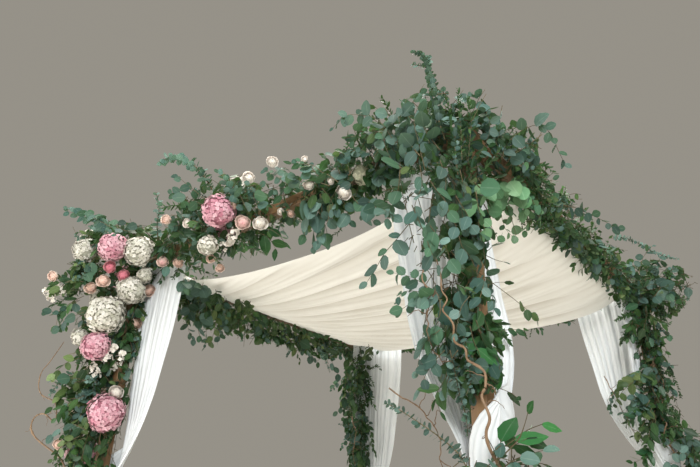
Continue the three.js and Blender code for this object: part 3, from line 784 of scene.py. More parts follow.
WILLOW_RODS = {
    "front_left": [(-1.330, -1.330, 1.060), (-1.400, -1.380, 1.190), (-1.560, -1.490, 1.310),
                   (-1.585, -1.510, 1.400), (-1.540, -1.480, 1.440), (-1.480, -1.430, 1.400),
                   (-1.500, -1.440, 1.500), (-1.590, -1.500, 1.560), (-1.600, -1.530, 1.660),
                   (-1.570, -1.500, 1.760), (-1.520, -1.470, 1.880)],
    "front_right": [(1.330, -1.330, 1.040), (1.336, -1.420, 1.101), (1.338, -1.440, 1.144),
                    (1.358, -1.450, 1.182), (1.339, -1.450, 1.241), (1.349, -1.440, 1.284),
                    (1.336, -1.430, 1.331), (1.294, -1.440, 1.369), (1.290, -1.450, 1.402),
                    (1.247, -1.440, 1.440), (1.249, -1.450, 1.491), (1.217, -1.450, 1.547),
                    (1.227, -1.440, 1.586), (1.214, -1.450, 1.618), (1.219, -1.460, 1.672),
                    (1.197, -1.450, 1.745), (1.180, -1.430, 1.810)],
    "back_right": [(1.280, 1.130, 1.340), (1.279, 1.040, 1.385), (1.264, 1.020, 1.448),
                   (1.291, 1.010, 1.500), (1.268, 1.015, 1.543), (1.289, 1.020, 1.602),
                   (1.286, 1.020, 1.657), (1.300, 1.015, 1.683), (1.318, 1.020, 1.730),
                   (1.310, 1.070, 1.790)],
    "back_left": [(-1.330, 1.330, 1.240), (-1.360, 1.340, 1.320), (-1.420, 1.370, 1.400),
                  (-1.380, 1.390, 1.500), (-1.430, 1.360, 1.600), (-1.400, 1.400, 1.720)],
}
THIN_RODS = {
    "front_right_second_rod": [(428, 258, 2.12), (422, 278, 2.06), (433, 298, 2.03), (427, 310, 2.02),
                               (428, 321, 2.02), (427, 333, 2.02), (434, 350, 2.02), (441, 360, 2.04),
                               (447, 370, 2.10), (456, 386, 2.20)],
    "front_right_third_rod": [(389, 388, 2.20), (398, 395, 2.18), (409, 401, 2.16), (421, 409, 2.14),
                              (429, 420, 2.12), (437, 431, 2.12), (441, 446, 2.13), (440, 460, 2.15),
                              (450, 476, 2.17), (468, 484, 2.20)],
    "front_right_fourth_rod": [(468, 424, 2.16), (470, 440, 2.12), (477, 449, 2.11), (482, 457, 2.11),
                               (484, 470, 2.13), (490, 482, 2.17)],
    "back_right_second_rod": [(604, 376, 3.92), (607, 381, 3.90), (611, 389, 3.86), (616, 397, 3.84),
                              (619, 403, 3.82), (622, 411, 3.80), (628, 420, 3.78), (631, 428, 3.76),
                              (637, 436, 3.76), (646, 448, 3.76), (652, 456, 3.76), (662, 466, 3.78)],
    "back_left_second_rod": [(352, 416, 4.90), (353, 424, 4.88), (356, 431, 4.86), (355, 438, 4.85),
                             (354, 446, 4.84), (353, 454, 4.84), (355, 466, 4.84)],
}
ROD = {"thick": 0.0052, "thin": 0.0030, "tip": 0.42, "wiggle": 0.004, "wiggle_spans": (0.083, 0.137, 0.21),
       "points": 110, "sides": 10, "knots": 7, "knot_long": 0.008, "knot_high": 0.28, "uneven": 0.06,
       "uneven_spans": (0.05, 0.11), "end": 0.3, "gloss": 0.6}
TWIG = {"count": 6, "from": 15, "to": 100, "rise": 0.4, "steps": 9, "curl": 0.42, "short": 0.006,
        "long": 0.013, "thick": 0.0022, "tip": 0.35, "sides": 5, "darker": 0.85}
ROD_TONE = np.array((0.235, 0.150, 0.082))


def willow_rod(name, route, thick, seed):
    """A tapering rod with knots and a few twigs, as one mesh."""
    rng = np.random.default_rng(seed)
    line = through(route, ROD["points"])
    run = np.linspace(0, 1, len(line))
    for axis in range(3):
        wiggle = waves(run, ROD["wiggle_spans"], seed + axis)
        line[:, axis] += ROD["wiggle"] * wiggle * np.sin(np.pi * run)
    knots = sum(np.exp(-((run - place) / ROD["knot_long"]) ** 2) for place in rng.random(ROD["knots"]))
    uneven = 1 + ROD["knot_high"] * knots + ROD["uneven"] * waves(run, ROD["uneven_spans"], seed)
    radii = thick * (1 - (1 - ROD["tip"]) * run) * uneven
    radii[-1] *= ROD["end"]
    bunch = Bunch()
    spots, faces, uv = tubes(line[None], radii[None], ROD["sides"])
    bunch.add(spots, faces, ROD_TONE[None], ROD["gloss"], uv)
    count = TWIG["count"]
    twigs = [line[rng.integers(TWIG["from"], TWIG["to"], count)]]
    heads = unit(rng.normal(0, 1, (count, 3)) + np.array([0, 0, TWIG["rise"]]))
    for _ in range(TWIG["steps"]):
        heads = unit(heads + rng.normal(0, TWIG["curl"], (count, 3)))
        twigs.append(twigs[-1] + heads * rng.uniform(TWIG["short"], TWIG["long"], (count, 1)))
    twigs = np.stack(twigs, axis=1)
    twig_radii = np.tile(TWIG["thick"] * np.linspace(1, TWIG["tip"], twigs.shape[1]), (count, 1))
    spots, faces, uv = tubes(twigs, twig_radii, TWIG["sides"])
    bunch.add(spots, faces, np.tile(ROD_TONE * TWIG["darker"], (count, 1)), ROD["gloss"], uv)
    return bunch.build(name)


for seed, (corner, route) in enumerate(WILLOW_RODS.items(), start=51):
    rod = willow_rod(f"{corner}_willow_rod", route, ROD["thick"], seed)
    finished(rod, bark.material, f"{corner}_willow")
for seed, (name, route) in enumerate(THIN_RODS.items(), start=61):
    finished(willow_rod(name, in_view(route), ROD["thin"], seed), bark.material)


# Blossoms: hydrangea heads, garden roses, spray roses and white stock, wired in where the photo
# shows them. Each stands on the greenery's own surface behind its place in the photo.
SPAN = {"reach": 1.62 + 0.085, "top": 2.945 + 0.08}
GREENERY = [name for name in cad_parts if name.endswith(("bouquet", "garland", "spray"))]
FLOWERED = ["front_left_bouquet", "front_left_post_garland", "front_beam_bouquet"]


def mesh_of(*names):
    """The vertices and faces of some pieces or CAD nodes together."""
    spots, faces, total = [], [], 0
    for name in names:
        mesh = bpy.data.objects[name].data
        spots += [vertex.co.copy() for vertex in mesh.vertices]
        faces += [[total + i for i in polygon.vertices] for polygon in mesh.polygons]
        total += len(mesh.vertices)
    return spots, faces


greenery_surface = BVHTree.FromPolygons(*mesh_of(*GREENERY))


def seat(photo_x, photo_y):
    """Where a line of sight meets the greenery, or passes nearest to it, and which way that faces."""
    line = sight(photo_x, photo_y)
    spot, normal, _, _ = greenery_surface.ray_cast(EYE, line.normalized())
    if spot is None:
        passes = [EYE + line * depth for depth in np.arange(1.6, 6.0, 0.03)]
        spot = min(passes, key=lambda place: greenery_surface.find_nearest(place)[3])
        normal = (spot - greenery_surface.find_nearest(spot)[0]).normalized()
    return spot, normal


def small_form(cells, width, blunt, lean):
    """A leaf or petal laid flat along X: its spots, its faces and its own map. Width is a share of length."""
    deselect()
    bpy.ops.mesh.primitive_grid_add(x_subdivisions=cells, y_subdivisions=2, size=1)
    form = bpy.context.object
    for vertex in form.data.vertices:
        run = (1 - math.cos(math.pi * (vertex.co.x + 0.5))) / 2
        side = width / 2 * max(math.sin(math.pi * min(run, 1) ** lean), 0) ** blunt
        vertex.co = (run, side * 2 * vertex.co.y, 0)
    bpy.ops.object.mode_set(mode="EDIT")
    bpy.ops.mesh.select_all(action="SELECT")
    bpy.ops.mesh.remove_doubles(threshold=0.0001)
    bpy.ops.mesh.quads_convert_to_tris()
    bpy.ops.object.mode_set(mode="OBJECT")
    spots = np.array([vertex.co for vertex in form.data.vertices])
    faces = np.array([polygon.vertices for polygon in form.data.polygons])
    uv = np.stack([spots[:, 0], 0.5 + 0.5 * np.sign(spots[:, 1].round(5))], axis=-1)
    bpy.data.objects.remove(form)
    return {"spots": spots, "faces": faces, "uv": uv}


def lay(form, bases, ahead, facing, sizes, curl, fold):
    """Copies of a form: each starts at its base, runs ahead, and its upper side looks along facing."""
    across = unit(np.cross(facing, ahead))
    over = np.cross(ahead, across)
    x, y = form["spots"][:, 0], form["spots"][:, 1]
    lift = curl[:, None] * x ** 2 + fold[:, None] * np.abs(y)
    return bases[:, None] + sizes[:, None, None] * (
        x[:, None] * ahead[:, None] + y[:, None] * across[:, None] + lift[..., None] * over[:, None])


petal_form = small_form(3, 1.08, 0.52, 1.2)
PETAL = {"nod": 0.13, "turn": 0.12, "cup": (-0.05, 0.22), "size": (0.85, 1.15), "curl": (-0.25, 0.15),
         "fold": (-0.1, 0.25), "heart": 0.80, "shade": (0.93, 1.04), "gloss": 0.75}
HYDRANGEAS = {
    "pink_hydrangea": ((0.56, 0.20, 0.28), (0.86, 0.56, 0.63)),
    "white_hydrangea": ((0.50, 0.52, 0.41), (0.88, 0.88, 0.80)),
    "cream_hydrangea": ((0.56, 0.60, 0.42), (0.72, 0.73, 0.56)),
}
ROSES = {
    "peach_rose": ((0.93, 0.79, 0.68), (0.90, 0.58, 0.47)),
    "pink_rose": ((0.92, 0.80, 0.71), (0.85, 0.42, 0.44)),
    "white_rose": ((0.94, 0.93, 0.87), (0.93, 0.91, 0.80)),
    "deep_pink_rose": ((0.74, 0.28, 0.34), (0.66, 0.17, 0.24)),
}


def dome_points(count, reach):
    """Even spots over a dome about Z, out to an angle."""
    order = np.arange(count) + 0.5
    height = 1 - order / count * (1 - math.cos(reach))
    turn = order * math.pi * (3 - math.sqrt(5))
    flat = np.sqrt(np.maximum(1 - height ** 2, 0))
    return np.stack([flat * np.cos(turn), flat * np.sin(turn), height], axis=-1)


def turned(points, facing):
    """Points made about Z, turned to face a direction."""
    turn = Vector((0, 0, 1)).rotation_difference(Vector(facing)).to_matrix()
    return points @ np.array(turn).T


def florets(rng, bunch, centres, outward, radius, colours):
    """Four round petals about each centre, slightly cupped."""
    count = len(centres)
    outward = unit(outward + rng.normal(0, PETAL["nod"], (count, 3)))
    across = unit(np.cross(outward, rng.normal(0, 1, (count, 3))))
    other = np.cross(outward, across)
    for petal in range(4):
        turn = petal * np.pi / 2 + rng.normal(0, PETAL["turn"], count)
        ahead = across * np.cos(turn)[:, None] + other * np.sin(turn)[:, None]
        ahead = unit(ahead + outward * rng.uniform(*PETAL["cup"], (count, 1)))
        spots = lay(petal_form, centres, ahead, outward, radius * rng.uniform(*PETAL["size"], count),
                    rng.uniform(*PETAL["curl"], count), rng.uniform(*PETAL["fold"], count))
        shade = PETAL["heart"] + (1 - PETAL["heart"]) * petal_form["spots"][:, 0]
        tones = colours[:, None] * shade[:, None] * rng.uniform(*PETAL["shade"], (count, 1, 1))
        bunch.add(spots, petal_form["faces"], tones, PETAL["gloss"], petal_form["uv"])


deselect()
bpy.ops.mesh.primitive_ico_sphere_add(subdivisions=3, radius=1)
core_form = bpy.context.object
core_spots = np.array([vertex.co for vertex in core_form.data.vertices])
core_faces = np.array([polygon.vertices for polygon in core_form.data.polygons])
bpy.data.objects.remove(core_form)

FLORET = 0.0135
HEAD = {"close": 4.6, "reach": 132, "flat": (1, 1, 0.88), "lumps": 3, "lump": 0.062, "lump_turns": 2.8,
        "rough": 0.045, "roughest": 1.6, "to_light": 0.7, "core": 0.93, "core_painted_shade": 0.6, "gloss": 0.8}


def hydrangea(rng, bunch, centre, facing, radius, palette):
    """A close, slightly lumpy ball of small florets round a core, which closes their gaps with painted shade.
    """
    count = int(HEAD["close"] * radius ** 2 / FLORET ** 2)
    low, high = np.array(palette[0]), np.array(palette[1])
    dome = turned(dome_points(count, math.radians(HEAD["reach"])) * HEAD["flat"], facing)
    lumps = sum(HEAD["lump"] * np.sin(dome @ rng.normal(0, HEAD["lump_turns"], 3) + rng.uniform(0, 6.28))
                for _ in range(HEAD["lumps"]))
    uneven = rng.normal(0, 1, (count, 1)).clip(-HEAD["roughest"], HEAD["roughest"])
    rough = 1 + lumps[:, None] + HEAD["rough"] * uneven
    tones = low + (high - low) * rng.random((count, 1)) ** HEAD["to_light"]
    florets(rng, bunch, centre + dome * radius * rough, unit(dome), FLORET, tones)
    # Painted shade: the core takes the low colour, darkened, so it shows as shade in the gaps between
    # florets.
    core = turned(core_spots * HEAD["flat"], facing) * radius * HEAD["core"] + centre
    bunch.add(core[None], core_faces, low[None] * HEAD["core_painted_shade"], HEAD["gloss"], core_spots[:, :2])


CUP_ACROSS, CUP_UP = 4, 4
cup_a, cup_b = np.meshgrid(np.linspace(-1, 1, CUP_ACROSS + 1), np.linspace(0, 1, CUP_UP + 1), indexing="ij")
cup_a, cup_b = cup_a.ravel(), cup_b.ravel()
cup_faces = []
for i in range(CUP_ACROSS):
    for j in range(CUP_UP):
        a = i * (CUP_UP + 1) + j
        cup_faces += [(a, a + CUP_UP + 1, a + CUP_UP + 2), (a, a + CUP_UP + 2, a + 1)]
cup_faces = np.array(cup_faces)
cup_uv = np.stack([cup_b, cup_a / 2 + 0.5], axis=-1)
ROSE = {"petals": 24, "next_turn": 2.4, "heart": 0.24, "opens": 0.70, "foot": 128, "rim": 4,
        "rim_opens": 66, "wide": 120, "narrower": 68, "tapers": 0.75, "curl": 0.16, "wavy": 0.03,
        "flat": 0.86, "heart_high": 0.30, "shade": (0.95, 1.04), "gloss": 0.7}


def rose(rng, bunch, centre, facing, radius, palette):
    """A full garden rose: its heart petals close over each other, and the outer ones open and curl."""
    order = np.arange(ROSE["petals"])
    grown = (order / (ROSE["petals"] - 1))[:, None]
    turn = order[:, None] * ROSE["next_turn"] + rng.uniform(0, 6.28)
    shell = radius * (ROSE["heart"] + ROSE["opens"] * grown)
    rim = np.radians(ROSE["rim"] + ROSE["rim_opens"] * grown ** 1.25)
    foot_at, b = np.radians(ROSE["foot"]), cup_b[None]
    polar = foot_at + (rim - foot_at) * b ** 0.9
    wide = np.radians(ROSE["wide"] - ROSE["narrower"] * grown) * np.sqrt(1 - ROSE["tapers"] * b ** 3)
    angle = turn + cup_a[None] * wide
    curl = ROSE["curl"] * grown * np.clip((b - 0.7) / 0.3, 0, 1)
    wavy = ROSE["wavy"] * np.sin(cup_a[None] * 4 + order[:, None] * 1.7) * b
    out = shell * np.sin(polar) * (1 + wavy) + radius * curl
    rise = shell * np.cos(polar) * ROSE["flat"] + radius * ROSE["heart_high"] * (1 - grown) ** 1.2
    rise = rise - radius * curl * 0.5
    spots = np.stack([out * np.cos(angle), out * np.sin(angle), rise * np.ones_like(angle)], axis=-1)
    outer, inner = np.array(palette[0]), np.array(palette[1])
    tones = inner + (outer - inner) * grown[..., None] ** 0.8
    # Painted shade: each petal is darker towards its foot, deep inside the cup.
    tones = tones * (0.88 + 0.12 * b[..., None] ** 2)
    tones = tones * rng.uniform(*ROSE["shade"], (ROSE["petals"], 1, 1))
    spots = turned(spots.reshape(-1, 3), facing).reshape(ROSE["petals"], -1, 3) + centre
    bunch.add(spots, cup_faces, tones, ROSE["gloss"], cup_uv)


# Each flower: its place in the photo and how wide it shows there.
FLOWERS = {
    "pink_hydrangea": [(112, 246, 27), (218, 212, 32), (96, 346, 27), (106, 414, 35)],
    "white_hydrangea": [(138, 251, 28), (85, 251, 22), (131, 290, 28), (105, 315, 36), (144, 275, 15),
                        (173, 281, 15), (168, 308, 14), (208, 245, 19), (81, 337, 16)],
    "cream_hydrangea": [(363, 174, 21)],
    "peach_rose": [(103, 280, 14), (91, 287, 13), (148, 290, 14), (147, 313, 13), (135, 323, 13),
                   (54, 276, 11), (59, 444, 11), (211, 257, 11), (220, 267, 10), (167, 220, 11),
                   (179, 262, 11), (228, 202, 8), (234, 206, 8), (291, 213, 8)],
    "pink_rose": [(163, 261, 12), (243, 222, 16)],
    "white_rose": [(260, 222, 16), (249, 179, 14), (272, 163, 13), (124, 371, 15), (116, 393, 15),
                   (188, 223, 10), (281, 211, 8), (344, 192, 17), (309, 185, 12), (331, 181, 8),
                   (305, 160, 8), (632, 388, 8)],
    "deep_pink_rose": [(110, 268, 13), (123, 275, 13)],
}

blossom = Finish("soft_petal", Roughness=0.7)
blossom_colour = blossom.own_colour()
blossom_vein = blossom.noise(blossom.place_on_cut((3, 26, 1)), 1.0, 3)
blossom_mottle = blossom.noise(blossom.place(), 70, 2)
blossom_shade = blossom.blend(1.0, blossom_colour, (0.86, 0.80, 0.80), "MULTIPLY")
blossom.set(Base_Color=blossom.blend(blossom_vein * blossom_mottle * 1.6, blossom_colour, blossom_shade))
blossom.set(Normal=blossom.bump(blossom_vein, 0.25, 0.0006), Roughness=0.78 - blossom_mottle * 0.2)
blossom.let_through((0.90, 0.78, 0.74), 0.18)

SEATED = {"clear": 1.1, "out": 0.45, "to_eye": 0.75, "head": 0.25, "rose": 0.3}
rng = np.random.default_rng(71)
blossoms = {kind: [] for kind in FLOWERS}
for kind, places in FLOWERS.items():
    for photo_x, photo_y, wide in places:
        spot, normal = seat(photo_x, photo_y)
        radius = wide / 2 / PHOTO["focal"] * (spot - EYE).dot(look)
        most = SPAN["reach"] - radius * SEATED["clear"]
        for axis in (0, 1):
            spot[axis] = min(max(spot[axis], -most), most)
        facing = (normal * SEATED["out"] + (EYE - spot).normalized() * SEATED["to_eye"]).normalized()
        blossoms[kind].append((np.array(spot), np.array(facing), radius))

# On the sides that the photo doesn't show, the corner and the beam carry the same mix of blossoms.
UNSEEN = [("pink_hydrangea", 0.088), ("white_hydrangea", 0.085), ("peach_rose", 0.044),
          ("white_rose", 0.045), ("white_hydrangea", 0.07), ("pink_rose", 0.042), ("peach_rose", 0.036)]
SCATTER = {"tries": 260, "away": -0.30, "apart": 1.15, "lowest_face": -0.75, "beside": 1.3, "short": 1.5}


def out_of_sight(spot, radius):
    """Whether the greenery hides a whole flower from the photo's camera."""
    line = Vector(spot) - EYE
    aside = line.orthogonal().normalized() * radius * SCATTER["beside"]
    turns = [Matrix.Rotation(math.radians(turn), 3, line.normalized()) for turn in range(45, 360, 45)]
    for side in [aside] + [turn @ aside for turn in turns]:
        way = line + side
        far = way.length - radius * SCATTER["short"]
        if greenery_surface.ray_cast(EYE, way.normalized(), far)[0] is None:
            return False
    return True


def surface_samples(rng, name, count):
    """Seeded spots spread evenly over a node's surface, the way it faces at each, and its whole area."""
    mesh = bpy.data.objects[name].data
    spots = np.array([vertex.co for vertex in mesh.vertices])
    corners = spots[np.array([polygon.vertices for polygon in mesh.polygons])]
    cross = np.cross(corners[:, 1] - corners[:, 0], corners[:, 2] - corners[:, 0])
    area = np.linalg.norm(cross, axis=1) / 2
    pick = rng.choice(len(area), count, p=area / area.sum())
    a, b = rng.random((2, count, 1))
    a, b = np.where(a + b > 1, 1 - a, a), np.where(a + b > 1, 1 - b, b)
    tri = corners[pick]
    spots = tri[:, 0] + a * (tri[:, 1] - tri[:, 0]) + b * (tri[:, 2] - tri[:, 0])
    return spots, unit(cross[pick]), area.sum()


taken = [place for places in blossoms.values() for place in places]
for name in FLOWERED:
    spots, normals, _ = surface_samples(rng, name, SCATTER["tries"])
    order = 0
    for spot, normal in zip(spots, normals):
        kind, radius = UNSEEN[order % len(UNSEEN)]
        away = np.dot(normal, np.array((EYE - Vector(spot)).normalized())) < SCATTER["away"]
        outer = abs(spot[0]) >= HALF or abs(spot[1]) >= HALF
        clear = all(np.linalg.norm(spot - at) > (radius + size) * SCATTER["apart"] for at, _, size in taken)
        if away and clear and outer and normal[2] > SCATTER["lowest_face"] and out_of_sight(spot, radius):
            blossoms[kind].append((spot, normal, radius))
            taken.append(blossoms[kind][-1])
            order += 1

for kind, places in blossoms.items():
    bunch = Bunch()
    for spot, facing, radius in places:
        if kind in HYDRANGEAS:
            centre = spot + facing * radius * SEATED["head"]
            hydrangea(rng, bunch, centre, facing, radius, HYDRANGEAS[kind])
        else:
            rose(rng, bunch, spot + facing * radius * SEATED["rose"], facing, radius, ROSES[kind])
    finished(bunch.build(f"{kind}s"), blossom.material)

# Each stock: its place in the photo and how tall it is, in metres.
STOCKS = [(110, 354, 0.10), (118, 362, 0.10), (60, 288, 0.13), (50, 296, 0.10), (233, 236, 0.08),
          (226, 245, 0.07), (160, 300, 0.08), (95, 372, 0.09)]
STOCK = {"apart": 0.0034, "wide": 0.027, "reach": 0.035, "out": 0.6, "up": 0.8, "sunk": 0.3,
         "tone": np.array((0.88, 0.87, 0.78)), "shade": (0.92, 1.03)}
bunch = Bunch()
for photo_x, photo_y, tall in STOCKS:
    spot, normal = seat(photo_x, photo_y)
    lean = unit(np.array(normal) * STOCK["out"] + np.array((0, 0, STOCK["up"])))
    count = int(tall / STOCK["apart"])
    run = rng.random((count, 1))
    off = unit(rng.normal(0, 1, (count, 3)))
    centres = np.array(spot) + lean * (run - STOCK["sunk"]) * tall + off * STOCK["wide"] * (1.1 - 0.5 * run)
    tones = STOCK["tone"] * rng.uniform(*STOCK["shade"], (count, 1))
    florets(rng, bunch, centres, unit(off + lean * 0.3), FLORET, tones)
    taken.append((np.array(spot), np.array(normal), STOCK["reach"]))
finished(bunch.build("white_stock"), blossom.material)

# Leaves: cut branches of silver-dollar and baby eucalyptus, myrtle and broad dark foliage, wired
# round the timber so thickly that it hardly shows. Each branch grows out of its mass and droops.
KINDS = {
    "silver_dollar": {
        "form": small_form(5, 0.80, 0.64, 0.90), "long": (0.038, 0.078), "gap": 0.028,
        "pair": False, "open": 68, "hang": 0.45, "out": 0.75, "up": 0.25, "gloss": 0.52, "stem": 0.0019,
        "colours": ((0.034, 0.080, 0.068), (0.120, 0.195, 0.170), (0.050, 0.112, 0.068))},
    "olive_round": {
        "form": small_form(5, 0.72, 0.70, 0.85), "long": (0.036, 0.066), "gap": 0.026,
        "pair": False, "open": 62, "hang": 0.40, "out": 0.70, "up": 0.30, "gloss": 0.42, "stem": 0.0018,
        "colours": ((0.040, 0.082, 0.028), (0.150, 0.205, 0.075), (0.024, 0.060, 0.020))},
    "light_round": {
        "form": small_form(5, 0.92, 0.60, 0.95), "long": (0.036, 0.060), "gap": 0.027,
        "pair": False, "open": 68, "hang": 0.35, "out": 0.75, "up": 0.35, "gloss": 0.45, "stem": 0.0018,
        "colours": ((0.090, 0.215, 0.100), (0.200, 0.350, 0.185), (0.070, 0.165, 0.095))},
    "baby_spiral": {
        "form": small_form(3, 1.00, 0.55, 0.95), "long": (0.017, 0.026), "gap": 0.011,
        "pair": True, "open": 72, "hang": 0.0, "out": 0.2, "up": 0.2, "gloss": 0.6, "stem": 0.0022,
        "colours": ((0.062, 0.125, 0.112), (0.155, 0.240, 0.212), (0.09, 0.16, 0.13))},
    "myrtle": {
        "form": small_form(3, 0.46, 0.80, 0.85), "long": (0.020, 0.034), "gap": 0.010,
        "pair": True, "open": 48, "hang": 0.0, "out": 0.4, "up": 0.4, "gloss": 0.35, "stem": 0.0014,
        "colours": ((0.018, 0.055, 0.022), (0.060, 0.130, 0.040), (0.030, 0.080, 0.028))},
    "dark_broad": {
        "form": small_form(4, 0.56, 0.85, 0.80), "long": (0.050, 0.078), "gap": 0.026,
        "pair": False, "open": 52, "hang": 0.25, "out": 0.7, "up": 0.3, "gloss": 0.36, "stem": 0.0018,
        "colours": ((0.014, 0.050, 0.017), (0.052, 0.112, 0.034), (0.022, 0.064, 0.030))},
    "large_glossy": {
        "form": small_form(5, 0.50, 0.90, 0.82), "long": (0.075, 0.110), "gap": 0.040,
        "pair": False, "open": 48, "hang": 0.15, "out": 0.8, "up": 0.3, "gloss": 0.28, "stem": 0.0024,
        "colours": ((0.012, 0.075, 0.022), (0.030, 0.130, 0.035), (0.015, 0.060, 0.025))},
}
STEM_COLOUR = np.array((0.115, 0.085, 0.045))
blockers = BVHTree.FromPolygons(*mesh_of(
    *[f"{node}_timber" for node in TIMBERS], "canopy_chiffon", *[f"{corner}_chiffon" for corner in CORNERS]))
flower_at = np.array([spot + facing * radius * SEATED["head"] for spot, facing, radius in taken])
flower_face = np.array([facing for _, facing, _ in taken])
flower_size = np.array([radius for _, _, radius in taken])

# Where the photo shows a drape bare: outlines in the photo, and how far off a leaf in front of it may be.
BARE = [
    (2.30, [(487, 243), (497, 243), (503.5, 290), (508, 318), (515.5, 345), (514.5, 363), (512.7, 381),
            (511, 418), (504, 422), (497, 436), (491, 452), (487, 467), (470, 467), (470, 430), (476, 416),
            (487, 402), (498, 394), (503, 381), (502, 363), (506, 345), (509, 332), (503, 318), (492, 312),
            (490, 290), (489, 268)]),
    (4.50, [(143, 325), (178.8, 287), (166, 330), (152, 382), (132, 444), (122, 467), (101, 467), (112, 440),
            (125, 417), (132, 375), (139, 347)]),
]
# Open air beside a mass, where only single sprays reach in.
OPEN_AIR = [
    (5.50, [(691, 170), (720, 170), (720, 428), (686, 428), (676, 405), (684, 372), (672, 345), (676, 318),
            (690, 300), (688, 275)]),
    (4.60, [(60, 180), (105, 222), (150, 226), (158, 205), (186, 200), (196, 178), (215, 170), (236, 172),
            (246, 184), (262, 176), (280, 196), (296, 150), (60, 140)]),
    (4.60, [(0, 150), (60, 225), (78, 243), (66, 266), (40, 262), (38, 334), (72, 334), (64, 352), (34, 350),
            (34, 467), (0, 467)]),
]
# Where only single sprays hang in front of the drape and the cloth.
SPRAYS_ONLY = [
    (2.55, [(372, 283), (375, 206), (408, 203), (412, 192), (432, 192), (434, 214), (424, 226), (420, 256),
            (446, 262), (462, 264), (462, 284), (440, 292), (434, 310), (425, 340), (430, 370), (450, 400),
            (470, 412), (470, 467), (375, 467)]),
    (4.20, [(577, 312), (612, 312), (618, 330), (622, 348), (634, 360), (641, 368), (632, 400), (650, 440),
            (640, 467), (577, 467)]),
    (5.20, [(372, 349), (404, 349), (404, 467), (382, 467), (374, 440), (374, 420), (370, 400), (372, 380)]),
]
KEPT_CLEAR = BARE + SPRAYS_ONLY + OPEN_AIR
SPRIG = {"bare": 0.12, "turn": 0.5, "open": 10, "closes": 0.45, "stray": 0.14, "face": 0.48, "ahead": 1.2,
         "smaller": 0.42, "near": 0.92, "before": 0.3, "aside": 0.76, "past": (0.010, 0.045),
         "thinner": 0.45, "sides": 3, "bark": (0.7, 1.4), "gloss": 0.6, "curl": (-0.06, 0.14),
         "fold": (-0.05, 0.30), "third": 0.25, "shade": (0.78, 1.18), "stem_shade": (0.60, 1.35)}


def within(spots, outlines):
    """Which spots the camera sees inside one of the outlines, nearer than its depth."""
    away = spots - np.array(EYE)
    depth = away @ np.array(look)
    x = PHOTO["wide"] / 2 + PHOTO["focal"] * (away @ np.array(look_right)) / depth
    y = PHOTO["high"] / 2 - PHOTO["focal"] * (away @ np.array(look_up)) / depth
    seen = np.zeros(len(spots), bool)
    for far, outline in outlines:
        odd = np.zeros(len(spots), bool)
        for (ax, ay), (bx, by) in zip(outline, outline[1:] + outline[:1]):
            odd ^= ((ay > y) != (by > y)) & (x < (bx - ax) * (y - ay) / (by - ay + 1e-9) + ax)
        seen |= odd & (depth > 0) & (depth < far)
    return seen


def blocked(start, end):
    """Whether timber or cloth lies between two spots, or the second is beyond the canopy's size."""
    if np.abs(end[:2]).max() > SPAN["reach"] or end[2] > SPAN["top"]:
        return True
    way = Vector(end - start)
    return blockers.ray_cast(Vector(start), way.normalized(), way.length)[0] is not None


def free_steps(stem):
    """How many steps of a stem are clear of timber and cloth."""
    steps = len(stem) - 1
    return next((step for step in range(steps) if blocked(stem[step], stem[step + 1])), steps)


def cut_short(stems, ends):
    """Ends each stem at a step of its own."""
    for stem, end in zip(stems, ends):
        stem[end + 1:] = stem[end]


def in_a_blossom(spots):
    """Which spots lie in a blossom or close in front of it."""
    inside = np.zeros(len(spots), bool)
    for at, face, radius in zip(flower_at, flower_face, flower_size):
        gap = spots - at
        front = gap @ face
        aside = np.linalg.norm(gap - front[:, None] * face, axis=1)
        before = (front > 0) & (front < SPRIG["before"]) & (aside < radius * SPRIG["aside"])
        inside |= (np.linalg.norm(gap, axis=1) < radius * SPRIG["near"]) | before
    return inside


def drooping(rng, starts, heads, lengths, style):
    """Stems (stems, steps + 1, 3) that bend down under their own weight and wander a little."""
    points, steps = [starts], style["steps"]
    for _ in range(steps):
        sag = np.array((0, 0, style["sag"] / steps))
        heads = unit(heads + rng.normal(0, style["wander"], heads.shape) - sag)
        points.append(points[-1] + heads * (lengths / steps)[:, None])
    return np.stack(points, axis=1)


def outside(surface, spot, past):
    """Whether a spot lies farther than past outside a closed surface."""
    near, normal, _, gap = surface.find_nearest(Vector(spot))
    return gap > past and (Vector(spot) - near).dot(normal) > 0


